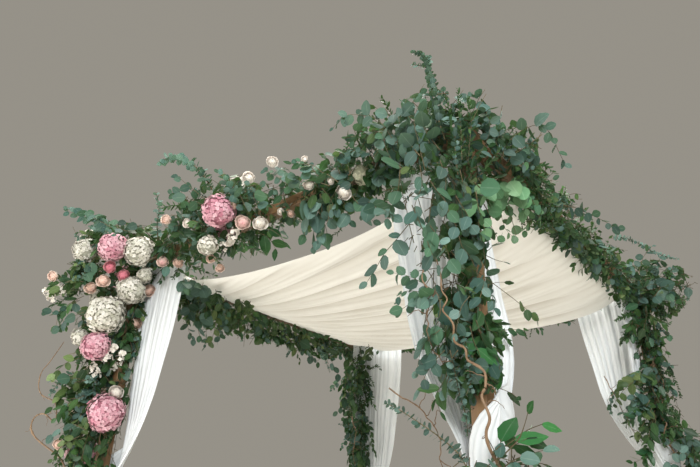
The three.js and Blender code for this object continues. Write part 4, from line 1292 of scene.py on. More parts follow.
def leafy(rng, bunch, kind, stems, outward, bare=SPRIG["bare"], scale=1.0, outlines=KEPT_CLEAR, mass=None):
    """Stems with their leaves, left out where timber, cloth or a blossom is in the way or a drape shows."""
    style = KINDS[kind]
    steps = stems.shape[1] - 1
    free = np.array([free_steps(stem) for stem in stems], int)
    keep = free >= 2
    stems, outward, free = stems[keep], outward[keep], free[keep]
    if len(stems) == 0:
        return
    cut_short(stems, free)
    lengths = np.linalg.norm(np.diff(stems, axis=1), axis=-1).sum(axis=1)
    count = np.maximum(2, (lengths * (1 - bare) / (style["gap"] * scale)).astype(int))
    if style["pair"]:
        count *= 2
    which = np.repeat(np.arange(len(stems)), count)
    order = np.concatenate([np.arange(c) for c in count])
    rank = order // 2 if style["pair"] else order
    ranks = count[which] // 2 if style["pair"] else count[which]
    run = bare + (1 - bare) * (rank + rng.uniform(0.3, 0.9, len(rank)) * (not style["pair"]) + 0.2) / ranks
    run = run.clip(0, 1)
    place = run * free[which]
    i = np.minimum(place.astype(int), free[which] - 1)
    part = (place - i)[:, None]
    bases = stems[which, i] * (1 - part) + stems[which, i + 1] * part
    along_stem = unit(stems[which, i + 1] - stems[which, i])
    if style["pair"]:
        turn = rank * (np.pi / 2) + (order % 2) * np.pi
    else:
        turn = rank * np.pi + rng.normal(0, SPRIG["turn"], len(rank))
    turn = turn + rng.uniform(0, 6.28, len(stems))[which]
    side = unit(np.cross(along_stem, outward[which] + np.array((0.01, 0.02, 0.03))))
    other = np.cross(along_stem, side)
    off = side * np.cos(turn)[:, None] + other * np.sin(turn)[:, None]
    opened = np.radians(style["open"] + rng.normal(0, SPRIG["open"], len(turn)))
    opened = opened[:, None] * (1 - SPRIG["closes"] * run[:, None] ** 3)
    ahead = along_stem * np.cos(opened) + off * np.sin(opened)
    ahead = unit(ahead - np.array((0, 0, style["hang"])) + rng.normal(0, SPRIG["stray"], ahead.shape))
    facing = outward[which] * style["out"] + np.array((0, 0, style["up"]))
    facing = facing + rng.normal(0, SPRIG["face"], ahead.shape)
    if style["pair"]:
        facing = facing + along_stem * SPRIG["ahead"]
    facing = unit(facing - (facing * ahead).sum(axis=1, keepdims=True) * ahead)
    sizes = rng.uniform(*style["long"], len(turn)) * (1 - SPRIG["smaller"] * run ** 2) * scale

    middles = bases + ahead * (sizes / 2)[:, None]
    tips = bases + ahead * sizes[:, None]
    fine = (np.abs(tips[:, :2]).max(axis=1) < SPAN["reach"]) & (tips[:, 2] < SPAN["top"])
    fine &= ~(within(middles, outlines) | within(tips, outlines) | in_a_blossom(middles))
    past = rng.uniform(*SPRIG["past"], len(stems))[which]
    for j in np.flatnonzero(fine):
        fine[j] = not (blocked(bases[j], tips[j]) or mass and outside(mass, tips[j], past[j]))
    count = int(fine.sum())
    if count == 0:
        return
    leafed = [place[fine & (which == i)] for i in range(len(stems))]
    cut_short(stems, [math.ceil(places.max()) if len(places) else 1 for places in leafed])
    radii = style["stem"] * scale * np.linspace(1, SPRIG["thinner"], steps + 1)[None]
    spots, faces, uv = tubes(stems, radii * np.ones((len(stems), 1)), SPRIG["sides"])
    bark_tones = STEM_COLOUR * rng.uniform(*SPRIG["bark"], (len(stems), 1))
    bunch.add(spots, faces, bark_tones, SPRIG["gloss"], uv)
    spots = lay(style["form"], bases[fine], ahead[fine], facing[fine], sizes[fine],
                rng.normal(*SPRIG["curl"], count), rng.uniform(*SPRIG["fold"], count))
    first, second, third = (np.array(colour) for colour in style["colours"])
    mix = rng.random((count, 1))
    tones = first + (second - first) * mix ** 1.3
    tones = np.where(rng.random((count, 1)) < SPRIG["third"], third, tones)
    tones = tones * rng.uniform(*SPRIG["shade"], (count, 1))
    tones = tones * rng.uniform(*SPRIG["stem_shade"], (len(stems), 1))[which[fine]]
    bunch.add(spots, style["form"]["faces"], tones, style["gloss"], style["form"]["uv"])


leaf = Finish("waxy_leaf", Roughness=0.5, Specular_IOR_Level=0.26)
leaf_colour = leaf.own_colour()
leaf_across = leaf.make("SeparateXYZ", {}, {"Vector": leaf.make("UVMap", {"uv_map": "cut"}, {})}, 1)
rib = leaf.ramp(abs(leaf_across - 0.5), (0.0, (1, 1, 1)), (0.045, (0, 0, 0)))
leaf_mottle = leaf.noise(leaf.place(), 55, 3, 0.6)
leaf_pale = leaf.blend(0.16, leaf_colour, (0.42, 0.50, 0.38))
leaf_deep = leaf.blend(1.0, leaf_colour, (0.66, 0.72, 0.70), "MULTIPLY")
leaf_tone = leaf.blend(leaf_mottle, leaf_colour, leaf_deep)
leaf.set(Base_Color=leaf.blend(rib, leaf_tone, leaf_pale))
leaf.set(Roughness=leaf.tone("own_gloss") + leaf_mottle * 0.15)
leaf.set(Normal=leaf.bump(leaf_mottle, 0.25, 0.0008))
leaf.let_through((0.13, 0.26, 0.07), 0.14)

# For each mass: how many branches of each kind a square metre of it carries.
MIXES = {
    "front_left": {"silver_dollar": 35, "olive_round": 55, "dark_broad": 100, "baby_spiral": 14,
                   "myrtle": 26},
    "front_right": {"silver_dollar": 95, "olive_round": 15, "dark_broad": 75, "baby_spiral": 12,
                    "myrtle": 26, "light_round": 12},
    "front_right_post_garland": {"silver_dollar": 42, "olive_round": 10, "dark_broad": 60, "baby_spiral": 6,
                                 "myrtle": 18},
    "front_right_spray": {"baby_spiral": 90},
    "back_right": {"silver_dollar": 45, "olive_round": 25, "dark_broad": 95, "baby_spiral": 10, "myrtle": 40},
    "back_left": {"silver_dollar": 30, "olive_round": 30, "dark_broad": 105, "baby_spiral": 10, "myrtle": 36},
    "front_beam": {"silver_dollar": 45, "olive_round": 30, "dark_broad": 90, "baby_spiral": 12, "myrtle": 30},
    "right_beam": {"silver_dollar": 25, "olive_round": 30, "dark_broad": 95, "baby_spiral": 8, "myrtle": 70},
    "back_beam": {"silver_dollar": 25, "olive_round": 30, "dark_broad": 100, "baby_spiral": 8, "myrtle": 40},
    "left_beam": {"silver_dollar": 15, "olive_round": 45, "dark_broad": 110, "baby_spiral": 8, "myrtle": 40},
}
TIMBER_MIX = {"silver_dollar": 60, "dark_broad": 130, "myrtle": 30}
LEAF_SCALE = {"front_right": 1.18, "front_left": 1.30, "": 1.25}
MASS = {"fewer": 0.82, "deepest": 0.10, "share": 0.45, "off_timber": 0.012, "shallowest": 0.004,
        "stray": 0.55, "post_falls": 0.75, "beam_falls": 0.25, "outward": (0.25, 0.9), "least_rise": 0.25,
        "over": 0.030, "over_share": (0.2, 1.6), "long": (0.09, 0.34), "sag": 0.35, "wander": 0.10,
        "steps": 5}
NEAR_TIMBER = {"within": 0.12, "off": 0.006, "outward": (0.15, 0.6), "stray": 0.5, "long": (0.07, 0.15),
               "sag": 0.25, "wander": 0.10, "steps": 5}


def leaves_on_timber(rng, bunch, surface):
    """Short branches close against the timber wherever a mass comes near, so that it hardly shows."""
    for timber in TIMBERS:
        for kind, per_area in TIMBER_MIX.items():
            _, _, area = surface_samples(rng, timber, 1)
            spots, normals, _ = surface_samples(rng, timber, int(per_area * area))
            gaps = np.array([surface.find_nearest(Vector(spot))[3] for spot in spots])
            near = gaps < NEAR_TIMBER["within"]
            starts, outward = spots[near] + normals[near] * NEAR_TIMBER["off"], normals[near]
            count = len(starts)
            heads = outward * rng.uniform(*NEAR_TIMBER["outward"], (count, 1))
            heads = unit(heads + rng.normal(0, NEAR_TIMBER["stray"], (count, 3)))
            stems = drooping(rng, starts, heads, rng.uniform(*NEAR_TIMBER["long"], count), NEAR_TIMBER)
            leafy(rng, bunch, kind, stems, outward)


def mass_of_leaves(rng, bunch, node, mix):
    """The branches of one mass: each starts inside it and leaves it through its surface."""
    surface = BVHTree.FromPolygons(*mesh_of(node))
    leaves_on_timber(rng, bunch, surface)
    _, _, area = surface_samples(rng, node, 1)
    scale = next(size for name, size in LEAF_SCALE.items() if node.startswith(name))
    for kind, per_area in mix.items():
        count = int(per_area * area * MASS["fewer"])
        spots, normals, _ = surface_samples(rng, node, count)
        depth = np.empty(count)
        for i in range(count):
            inward = (Vector(spots[i] - normals[i] * 0.002), Vector(-normals[i]), 1.0)
            far, solid = surface.ray_cast(*inward)[3] or 0.05, blockers.ray_cast(*inward)[3] or 1.0
            deep = min(MASS["deepest"], MASS["share"] * far, solid - MASS["off_timber"])
            depth[i] = max(deep, MASS["shallowest"])
        starts = spots - normals * depth[:, None]
        flow = rng.normal(0, MASS["stray"], (count, 3))
        if node.endswith("post_garland"):
            flow[:, 2] -= MASS["post_falls"]
        elif node.endswith("beam_garland"):
            flow[:, 2] -= MASS["beam_falls"]
        heads = unit(normals * rng.uniform(*MASS["outward"], (count, 1)) + flow)
        rise = np.maximum((heads * normals).sum(axis=1), MASS["least_rise"])
        over = MASS["over"] if kind != "dark_broad" else 0.0
        lengths = ((depth + over * rng.uniform(*MASS["over_share"], count)) / rise).clip(*MASS["long"])
        stems = drooping(rng, starts, heads, lengths, MASS)
        leafy(rng, bunch, kind, stems, normals, scale=scale, mass=surface)


for seed, node in enumerate(GREENERY, start=81):
    rng = np.random.default_rng(seed)
    bunch = Bunch()
    key = node if node in MIXES else next(name for name in MIXES if node.startswith(name))
    mass_of_leaves(rng, bunch, node, MIXES[key])
    finished(bunch.build(f"{node}_leaves"), leaf.material, node)

# Single branches: the longer sprays that stand out of the masses or hang down in front of them. Each
# follows its own line in the photo, just in front of the greenery or the timber and cloth behind it.
DOLLAR, DARK, OLIVE, LIGHT = "silver_dollar", "dark_broad", "olive_round", "light_round"
SPIRAL, MYRTLE, GLOSSY = "baby_spiral", "myrtle", "large_glossy"
# Each branch: its kind, how large its leaves are, and the places that it passes, x and y in turn.
LAID = {
    "near_corner": [
        (SPIRAL, 1.25, 445, 140, 438, 118, 436, 98, 432, 80, 427, 65, 421, 54, 413, 52),
        (DOLLAR, 1.0, 392, 138, 378, 120, 360, 115, 345, 116, 333, 128),
        (DOLLAR, 1.0, 408, 160, 402, 138, 400, 118, 407, 98),
        (DOLLAR, 1.0, 425, 170, 418, 140, 414, 120, 420, 102),
        (DOLLAR, 0.9, 390, 170, 376, 158, 362, 150, 350, 152),
        (DOLLAR, 0.9, 385, 190, 370, 182, 352, 178, 340, 186),
        (MYRTLE, 1.1, 455, 160, 452, 135, 449, 112, 445, 96),
        (MYRTLE, 1.1, 462, 160, 461, 135, 460, 110, 458, 88),
        (MYRTLE, 1.1, 468, 160, 470, 140, 471, 118, 468, 98),
        (SPIRAL, 1.1, 458, 175, 455, 150, 456, 130, 462, 118),
        (DARK, 0.9, 440, 170, 430, 145, 425, 125, 429, 108),
        (DOLLAR, 0.75, 476, 160, 487, 140, 490, 124, 485, 109),
        (DOLLAR, 0.85, 482, 165, 492, 148, 499, 136, 500, 124),
        (MYRTLE, 1.0, 480, 175, 492, 160, 500, 148, 508, 140),
        (DOLLAR, 1.0, 500, 160, 508, 142, 524, 129, 540, 125, 551, 134, 558, 150, 566, 166),
        (DOLLAR, 1.0, 505, 165, 517, 150, 522, 158, 524, 172),
        (DOLLAR, 1.0, 512, 155, 530, 146, 534, 158, 530, 170),
        (MYRTLE, 1.1, 515, 180, 530, 172, 543, 165, 553, 172),
        (MYRTLE, 1.1, 520, 195, 535, 190, 548, 192, 556, 204),
        (LIGHT, 1.1, 478, 178, 484, 188, 492, 200, 498, 214),
        (LIGHT, 1.1, 486, 176, 500, 184, 512, 196, 522, 212),
        (LIGHT, 1.1, 500, 180, 516, 184, 528, 198, 540, 216),
        (LIGHT, 1.0, 476, 190, 478, 206, 484, 222, 490, 236),
        (LIGHT, 0.9, 492, 196, 500, 212, 505, 228, 512, 236),
        (DOLLAR, 1.15, 440, 160, 446, 180, 444, 200, 450, 222),
        (DOLLAR, 1.15, 420, 165, 422, 185, 415, 205, 418, 225),
        (DOLLAR, 1.15, 400, 170, 398, 190, 392, 205, 386, 222),
        (DOLLAR, 1.15, 460, 170, 464, 190, 462, 210, 466, 232),
        (DOLLAR, 1.1, 380, 165, 374, 185, 366, 200, 362, 216),
        (DOLLAR, 1.0, 355, 178, 346, 190, 338, 202, 336, 216),
        (DOLLAR, 1.25, 412, 205, 423, 230, 430, 248, 437, 266),
        (DOLLAR, 1.15, 408, 225, 396, 240, 384, 254, 376, 268, 367, 282),
        (DOLLAR, 1.15, 430, 225, 440, 240, 448, 252, 450, 268),
        (DOLLAR, 1.25, 452, 215, 458, 232, 462, 246, 470, 256),
        (DOLLAR, 1.15, 478, 222, 483, 245, 485, 265, 482, 284),
        (DOLLAR, 1.0, 482, 262, 484, 280, 480, 298, 476, 314),
        (DOLLAR, 0.85, 440, 296, 424, 284, 408, 276, 394, 273),
        (DOLLAR, 0.85, 440, 298, 420, 292, 404, 292, 396, 302),
        (DOLLAR, 1.0, 442, 300, 426, 298, 410, 304, 398, 312),
        (DOLLAR, 1.1, 436, 290, 424, 304, 418, 318, 416, 334),
        (DOLLAR, 1.2, 440, 300, 440, 314, 434, 326, 428, 342),
        (DOLLAR, 1.1, 470, 296, 462, 306, 458, 320, 456, 334),
        (DOLLAR, 1.0, 440, 330, 428, 340, 420, 354, 417, 372),
        (DOLLAR, 1.0, 445, 350, 434, 362, 425, 376, 420, 392),
        (DOLLAR, 1.1, 458, 350, 450, 362, 446, 376, 444, 390),
        (DOLLAR, 1.0, 472, 355, 474, 370, 470, 384, 466, 396),
        (DARK, 1.05, 450, 370, 442, 384, 436, 396, 440, 412),
        (DARK, 1.1, 478, 300, 484, 318, 490, 334, 496, 350),
        (DARK, 1.1, 476, 320, 482, 338, 488, 352, 486, 370),
        (GLOSSY, 0.9, 480, 330, 490, 346, 498, 360, 500, 376),
        (GLOSSY, 0.9, 470, 326, 474, 342, 480, 356, 478, 372),
        (MYRTLE, 1.0, 488, 330, 500, 334, 508, 342, 514, 352),
        (MYRTLE, 1.0, 484, 370, 492, 380, 498, 388, 502, 400),
        (SPIRAL, 1.2, 450, 350, 455, 372, 460, 395, 466, 416, 468, 436),
        (SPIRAL, 1.1, 462, 330, 468, 352, 470, 372, 471, 392),
        (SPIRAL, 1.2, 466, 466, 457, 452, 438, 436, 418, 422, 398, 409, 385, 403),
        (GLOSSY, 1.25, 498, 466, 500, 450, 501, 436, 500, 420),
        (GLOSSY, 1.15, 500, 450, 514, 440, 528, 430, 543, 424),
        (GLOSSY, 1.15, 504, 455, 518, 440, 524, 426, 528, 412),
        (GLOSSY, 1.1, 492, 455, 500, 446, 512, 446, 528, 438),
        (DOLLAR, 1.15, 500, 470, 514, 460, 528, 455, 544, 450),
        (DOLLAR, 1.15, 480, 475, 492, 462, 500, 458, 514, 462),
        (DOLLAR, 1.0, 470, 480, 474, 468, 478, 458, 484, 450),
    ],
    "near_light": [
        (LIGHT, 1.5, 474, 182, 482, 190, 488, 200, 492, 214),
        (LIGHT, 1.5, 480, 178, 492, 186, 502, 198, 508, 212),
        (LIGHT, 1.5, 488, 176, 504, 182, 518, 194, 528, 210),
        (LIGHT, 1.4, 504, 180, 520, 186, 532, 200, 540, 218),
        (LIGHT, 1.5, 476, 192, 478, 206, 482, 220, 486, 234),
        (LIGHT, 1.4, 496, 194, 506, 206, 512, 220, 516, 236),
        (LIGHT, 1.4, 514, 192, 524, 206, 528, 220, 526, 232),
        (LIGHT, 1.3, 484, 204, 490, 216, 492, 228, 498, 238),
        (DOLLAR, 1.4, 440, 150, 432, 140, 424, 128, 420, 112),
        (DOLLAR, 1.4, 420, 156, 410, 144, 402, 132, 398, 116),
        (DOLLAR, 1.4, 404, 170, 392, 160, 386, 148, 382, 134),
        (DOLLAR, 1.4, 430, 180, 438, 192, 446, 202, 450, 216),
        (DOLLAR, 1.4, 456, 196, 462, 206, 468, 216, 472, 230),
    ],
    "near_post": [
        (DARK, 0.9, 464, 168, 462, 184, 458, 198, 456, 212),
        (DARK, 0.9, 468, 176, 474, 190, 478, 204, 480, 218),
        (MYRTLE, 1.0, 466, 184, 470, 198, 474, 210, 472, 224),
        (DOLLAR, 1.0, 470, 192, 466, 206, 462, 220, 464, 234),
        (DOLLAR, 1.0, 474, 204, 480, 216, 484, 228, 480, 244),
        (DARK, 1.0, 466, 212, 460, 226, 458, 238, 462, 252),
        (DOLLAR, 1.0, 472, 222, 476, 236, 470, 248, 474, 262),
        (DARK, 0.9, 476, 232, 482, 246, 486, 258, 488, 270),
        (DOLLAR, 1.0, 484, 262, 490, 276, 488, 290, 492, 302),
        (DOLLAR, 0.9, 486, 284, 492, 296, 494, 308, 490, 322),
        (DOLLAR, 0.9, 474, 270, 470, 284, 466, 296, 468, 308),
        (DARK, 1.1, 476, 308, 484, 316, 492, 326, 498, 338),
        (DARK, 1.1, 470, 312, 466, 326, 470, 340, 476, 352),
        (DARK, 1.1, 480, 322, 486, 336, 482, 350, 486, 362),
        (DARK, 1.0, 488, 330, 496, 342, 500, 354, 498, 366),
        (MYRTLE, 1.1, 486, 318, 496, 324, 504, 334, 510, 344),
        (DARK, 1.1, 474, 340, 480, 354, 476, 366, 482, 378),
        (GLOSSY, 0.8, 480, 344, 490, 356, 498, 366, 502, 378),
        (DARK, 1.0, 484, 352, 492, 366, 496, 378, 490, 390),
        (DOLLAR, 1.0, 470, 352, 466, 366, 470, 378, 464, 390),
        (DARK, 0.9, 478, 362, 474, 374, 470, 384, 472, 394),
        (MYRTLE, 1.1, 476, 372, 484, 382, 492, 390, 496, 400),
    ],
    "left_post": [
        (DARK, 1.0, 140, 300, 134, 312, 130, 326, 134, 338),
        (DARK, 1.0, 132, 308, 138, 320, 142, 330, 136, 342),
        (DARK, 1.0, 126, 318, 122, 332, 124, 344, 118, 354),
        (DOLLAR, 0.8, 136, 326, 140, 338, 134, 350, 130, 360),
        (DARK, 1.0, 128, 336, 132, 350, 126, 362, 128, 374),
        (MYRTLE, 1.0, 134, 340, 138, 352, 134, 364, 132, 374),
        (DARK, 0.9, 120, 350, 116, 362, 120, 374, 114, 384),
        (DOLLAR, 0.8, 124, 362, 130, 374, 134, 384, 130, 394),
        (DARK, 1.0, 122, 376, 128, 388, 132, 398, 128, 410),
        (DARK, 1.0, 126, 390, 130, 402, 124, 414, 128, 424),
        (DARK, 0.9, 120, 412, 124, 424, 118, 436, 122, 446),
        (MYRTLE, 1.0, 122, 424, 120, 436, 114, 446, 112, 456),
        (DARK, 0.9, 112, 436, 106, 446, 102, 456, 104, 467),
        (DARK, 0.9, 170, 226, 166, 238, 160, 250, 164, 262),
        (DARK, 0.9, 176, 232, 172, 246, 168, 258, 172, 270),
        (DARK, 0.9, 182, 236, 184, 250, 178, 262, 180, 274),
        (MYRTLE, 1.0, 168, 244, 174, 256, 178, 268, 172, 280),
    ],
    "left_beam_edge": [
        (DARK, 0.9, 184, 286, 194, 290, 204, 294, 214, 299),
        (OLIVE, 0.8, 190, 288, 198, 296, 206, 302, 212, 310),
        (DARK, 0.9, 206, 294, 216, 298, 226, 302, 236, 307),
        (OLIVE, 0.8, 216, 298, 222, 306, 230, 312, 238, 318),
        (DARK, 0.9, 230, 303, 240, 307, 250, 311, 260, 315),
        (OLIVE, 0.8, 240, 306, 248, 314, 256, 320, 262, 328),
        (DARK, 0.9, 252, 311, 262, 315, 272, 319, 282, 323),
        (OLIVE, 0.8, 264, 315, 272, 322, 280, 328, 286, 336),
        (DARK, 0.9, 276, 320, 286, 324, 296, 328, 306, 332),
        (DARK, 0.9, 296, 326, 306, 330, 316, 334, 326, 338),
        (OLIVE, 0.8, 300, 328, 308, 336, 314, 342, 322, 346),
        (DARK, 0.9, 314, 332, 324, 336, 334, 340, 344, 344),
    ],
    "left_corner": [
        (OLIVE, 1.0, 84, 282, 70, 280, 58, 290, 48, 300),
        (DARK, 1.0, 84, 296, 72, 302, 60, 312, 56, 326),
        (OLIVE, 1.0, 86, 380, 72, 384, 60, 396, 52, 408),
        (DOLLAR, 1.0, 112, 228, 98, 220, 84, 214, 66, 212),
        (DARK, 0.9, 86, 284, 74, 282, 62, 282, 52, 286),
        (OLIVE, 0.8, 84, 292, 70, 290, 58, 294, 48, 298),
        (MYRTLE, 1.0, 82, 288, 70, 296, 60, 302, 50, 306),
        (DARK, 0.9, 78, 300, 68, 306, 62, 316, 66, 326),
        (OLIVE, 0.9, 80, 358, 68, 362, 58, 370, 52, 378),
        (OLIVE, 0.9, 90, 366, 78, 374, 66, 384, 58, 394),
        (DARK, 0.9, 84, 396, 72, 402, 62, 408, 56, 418),
        (OLIVE, 0.8, 80, 436, 68, 442, 58, 450, 52, 460),
        (SPIRAL, 1.45, 212, 190, 204, 176, 192, 164, 179, 158, 168, 158, 158, 165),
        (SPIRAL, 1.45, 158, 240, 157, 224, 159, 208, 156, 192),
        (SPIRAL, 1.45, 232, 205, 230, 192, 225, 180, 217, 170),
        (DOLLAR, 0.8, 205, 200, 194, 190, 184, 182, 178, 176),
        (DOLLAR, 0.8, 206, 206, 192, 200, 180, 194, 172, 192),
        (DOLLAR, 1.0, 262, 218, 256, 204, 254, 194, 262, 184),
        (DOLLAR, 0.9, 250, 214, 244, 204, 240, 194, 238, 186),
        (MYRTLE, 1.0, 190, 210, 180, 206, 170, 206, 160, 209),
        (GLOSSY, 0.9, 258, 232, 266, 236, 272, 242, 276, 250),
        (GLOSSY, 0.8, 262, 228, 272, 230, 280, 236, 284, 242),
        (DOLLAR, 0.9, 130, 232, 112, 226, 96, 216, 78, 210, 60, 208, 46, 212),
        (DOLLAR, 0.9, 150, 236, 142, 228, 134, 224, 124, 222),
        (DOLLAR, 0.9, 170, 240, 178, 228, 184, 216, 190, 206),
        (SPIRAL, 1.0, 120, 240, 108, 232, 98, 230, 90, 226),
        (DOLLAR, 0.8, 80, 300, 66, 308, 56, 312, 46, 310),
        (DOLLAR, 0.8, 84, 312, 70, 318, 62, 324, 56, 330),
        (MYRTLE, 1.0, 186, 262, 196, 268, 206, 272, 216, 276),
        (MYRTLE, 1.0, 238, 238, 246, 246, 256, 250, 266, 254),
        (SPIRAL, 0.9, 74, 372, 64, 378, 56, 386, 50, 396),
        (DOLLAR, 0.9, 84, 380, 70, 378, 60, 384, 50, 380),
        (DOLLAR, 0.9, 86, 430, 72, 424, 60, 428, 52, 436),
    ],
    "flower_stem": [
        (DOLLAR, 0.9, 300, 188, 291, 178, 282, 170, 272, 165),
        (DOLLAR, 0.9, 296, 190, 284, 182, 276, 176, 264, 170),
        (DOLLAR, 0.9, 314, 184, 310, 175, 307, 168, 305, 162),
        (DOLLAR, 0.9, 258, 202, 254, 194, 251, 187, 249, 181),
        (OLIVE, 0.9, 86, 284, 75, 280, 65, 277, 55, 276),
        (OLIVE, 0.9, 86, 292, 74, 290, 63, 289, 52, 294),
        (OLIVE, 0.9, 86, 438, 77, 440, 68, 442, 60, 444),
        (DARK, 0.9, 186, 238, 178, 231, 172, 225, 167, 221),
        (DARK, 0.8, 212, 248, 215, 255, 218, 261, 220, 266),
    ],
    "front_beam": [
        (DOLLAR, 1.5, 306, 192, 304, 206, 306, 222, 304, 236),
        (DOLLAR, 1.5, 312, 194, 312, 210, 314, 226, 312, 252),
        (DOLLAR, 1.5, 320, 194, 322, 210, 320, 226, 318, 244),
        (DOLLAR, 1.5, 314, 198, 320, 214, 326, 228, 328, 242),
        (OLIVE, 1.5, 316, 190, 310, 204, 308, 216, 310, 230),
        (OLIVE, 1.4, 322, 188, 330, 198, 334, 208, 334, 218),
        (DOLLAR, 1.4, 340, 196, 346, 206, 348, 214, 350, 224),
        (DOLLAR, 1.4, 352, 196, 360, 206, 366, 214, 374, 222),
        (DOLLAR, 1.3, 364, 198, 374, 206, 384, 210, 394, 218),
        (DOLLAR, 1.4, 340, 184, 330, 176, 320, 172, 308, 172),
        (DOLLAR, 1.4, 330, 186, 318, 182, 306, 178, 292, 176),
        (DARK, 1.3, 326, 176, 314, 166, 302, 164, 288, 164),
        (DOLLAR, 1.3, 340, 174, 336, 162, 340, 154, 350, 148),
        (OLIVE, 1.3, 350, 176, 348, 164, 346, 156, 338, 152),
        (DARK, 1.4, 340, 186, 334, 194, 330, 204, 332, 214),
        (DOLLAR, 1.4, 366, 184, 376, 176, 384, 170, 392, 160),
        (DOLLAR, 1.0, 330, 205, 328, 220, 322, 232, 318, 242),
        (DOLLAR, 0.9, 305, 190, 298, 178, 290, 172, 284, 166),
        (DOLLAR, 0.9, 320, 180, 312, 168, 304, 162, 296, 160),
        (MYRTLE, 1.0, 345, 215, 342, 225, 338, 232, 332, 236),
    ],
    "right_beam": [
        (DOLLAR, 0.9, 556, 198, 572, 206, 590, 214, 606, 222, 619, 229),
        (SPIRAL, 1.0, 610, 238, 624, 238, 636, 242, 650, 250, 664, 256, 679, 259),
        (MYRTLE, 1.1, 560, 215, 568, 228, 576, 236, 586, 244),
        (DOLLAR, 1.0, 638, 284, 640, 268, 644, 256, 652, 246),
        (DOLLAR, 1.1, 652, 300, 660, 288, 668, 276, 676, 266),
        (DOLLAR, 1.0, 640, 290, 652, 284, 662, 288, 672, 300),
    ],
    "back_right_drape": [
        (DARK, 0.9, 640, 318, 632, 322, 625, 330, 620, 340),
        (MYRTLE, 1.0, 634, 312, 626, 316, 620, 318, 614, 321),
        (MYRTLE, 1.0, 636, 330, 628, 336, 622, 340, 620, 346),
        (MYRTLE, 1.0, 652, 318, 660, 322, 666, 324, 671, 322),
        (MYRTLE, 1.0, 650, 330, 658, 336, 664, 338, 668, 336),
        (DOLLAR, 0.8, 640, 332, 637, 342, 636, 350, 635, 358),
        (LIGHT, 0.9, 646, 362, 642, 368, 640, 374, 646, 380),
        (DOLLAR, 0.9, 655, 366, 650, 372, 645, 378, 642, 384),
        (DARK, 1.0, 660, 372, 665, 380, 668, 390, 666, 402),
        (DARK, 1.0, 655, 375, 660, 388, 662, 400, 660, 412),
        (DOLLAR, 0.75, 650, 376, 640, 376, 630, 378, 622, 384, 614, 392, 610, 404, 612, 414),
        (DOLLAR, 0.75, 650, 398, 642, 400, 634, 402, 628, 408),
        (DOLLAR, 0.75, 652, 404, 642, 408, 634, 414, 630, 422),
        (DARK, 0.9, 655, 410, 650, 424, 644, 432, 634, 436),
        (DARK, 1.0, 656, 415, 654, 430, 650, 440, 648, 450),
        (MYRTLE, 1.1, 662, 400, 670, 408, 676, 418, 680, 428),
        (MYRTLE, 1.1, 662, 408, 668, 418, 672, 426, 676, 432),
        (MYRTLE, 1.0, 664, 370, 672, 376, 678, 388, 681, 398),
        (GLOSSY, 0.8, 655, 452, 648, 456, 640, 460, 632, 463),
        (GLOSSY, 0.8, 652, 446, 648, 452, 646, 460, 650, 468),
        (DOLLAR, 0.95, 665, 448, 676, 440, 686, 438, 698, 446),
        (DOLLAR, 0.95, 668, 455, 680, 452, 690, 456, 698, 464),
        (DOLLAR, 0.9, 664, 460, 672, 464, 680, 468, 690, 476),
    ],
    "back_right_hanging": [
        (OLIVE, 1.3, 650, 378, 638, 374, 626, 380, 614, 392),
        (OLIVE, 1.3, 646, 384, 634, 382, 622, 392, 612, 408),
        (DOLLAR, 1.3, 648, 392, 638, 396, 630, 404, 624, 416),
        (DARK, 1.3, 650, 400, 644, 410, 634, 418, 626, 424),
        (OLIVE, 1.3, 652, 408, 646, 420, 640, 430, 636, 442),
        (DARK, 1.3, 654, 418, 650, 430, 648, 442, 646, 456),
        (DARK, 1.4, 640, 300, 634, 312, 632, 324, 628, 338),
        (DARK, 1.4, 646, 306, 646, 318, 644, 330, 648, 342),
        (DARK, 1.4, 650, 310, 654, 322, 656, 332, 660, 338),
        (GLOSSY, 0.9, 640, 316, 636, 324, 634, 332, 630, 338),
        (DARK, 1.4, 640, 392, 644, 402, 650, 412, 656, 420),
        (DARK, 1.4, 652, 388, 658, 400, 662, 410, 664, 422),
    ],
    "back_left_drape": [
        (DARK, 0.9, 362, 360, 358, 368, 354, 376, 350, 386),
        (DARK, 0.9, 366, 362, 365, 372, 366, 382, 364, 390),
        (DARK, 0.9, 358, 362, 350, 366, 346, 374, 343, 382),
        (MYRTLE, 1.0, 358, 368, 354, 362, 352, 356, 353, 350),
        (MYRTLE, 1.0, 366, 370, 372, 368, 377, 366, 381, 370),
        (MYRTLE, 1.0, 366, 376, 370, 378, 372, 382, 374, 386),
        (GLOSSY, 0.9, 352, 376, 346, 382, 340, 385, 333, 386),
        (GLOSSY, 0.8, 352, 380, 348, 386, 344, 391, 341, 396),
        (SPIRAL, 0.9, 356, 372, 355, 382, 356, 392, 358, 402),
        (SPIRAL, 0.9, 356, 396, 358, 406, 360, 414, 362, 422),
        (DARK, 0.9, 356, 388, 352, 396, 351, 402, 353, 408),
        (DARK, 1.0, 362, 418, 362, 430, 361, 442, 363, 454),
        (DARK, 1.0, 366, 420, 370, 430, 372, 442, 376, 454),
        (DARK, 0.9, 360, 424, 356, 436, 352, 446, 348, 454),
        (DOLLAR, 0.8, 364, 414, 369, 422, 368, 432, 366, 440),
        (SPIRAL, 0.9, 356, 430, 350, 428, 344, 425, 338, 424),
        (DOLLAR, 0.8, 354, 434, 348, 438, 344, 442, 341, 448),
        (DARK, 0.9, 360, 446, 362, 454, 364, 460, 366, 468),
        (MYRTLE, 0.9, 352, 404, 350, 412, 347, 418, 342, 418),
    ],
    "left_beam": [
        (DOLLAR, 1.3, 296, 332, 302, 344, 310, 354, 318, 362),
        (DOLLAR, 1.3, 322, 338, 326, 350, 332, 362, 338, 374),
        (OLIVE, 1.3, 284, 328, 290, 340, 296, 350, 300, 362),
        (DOLLAR, 1.4, 198, 300, 200, 314, 198, 328, 202, 342),
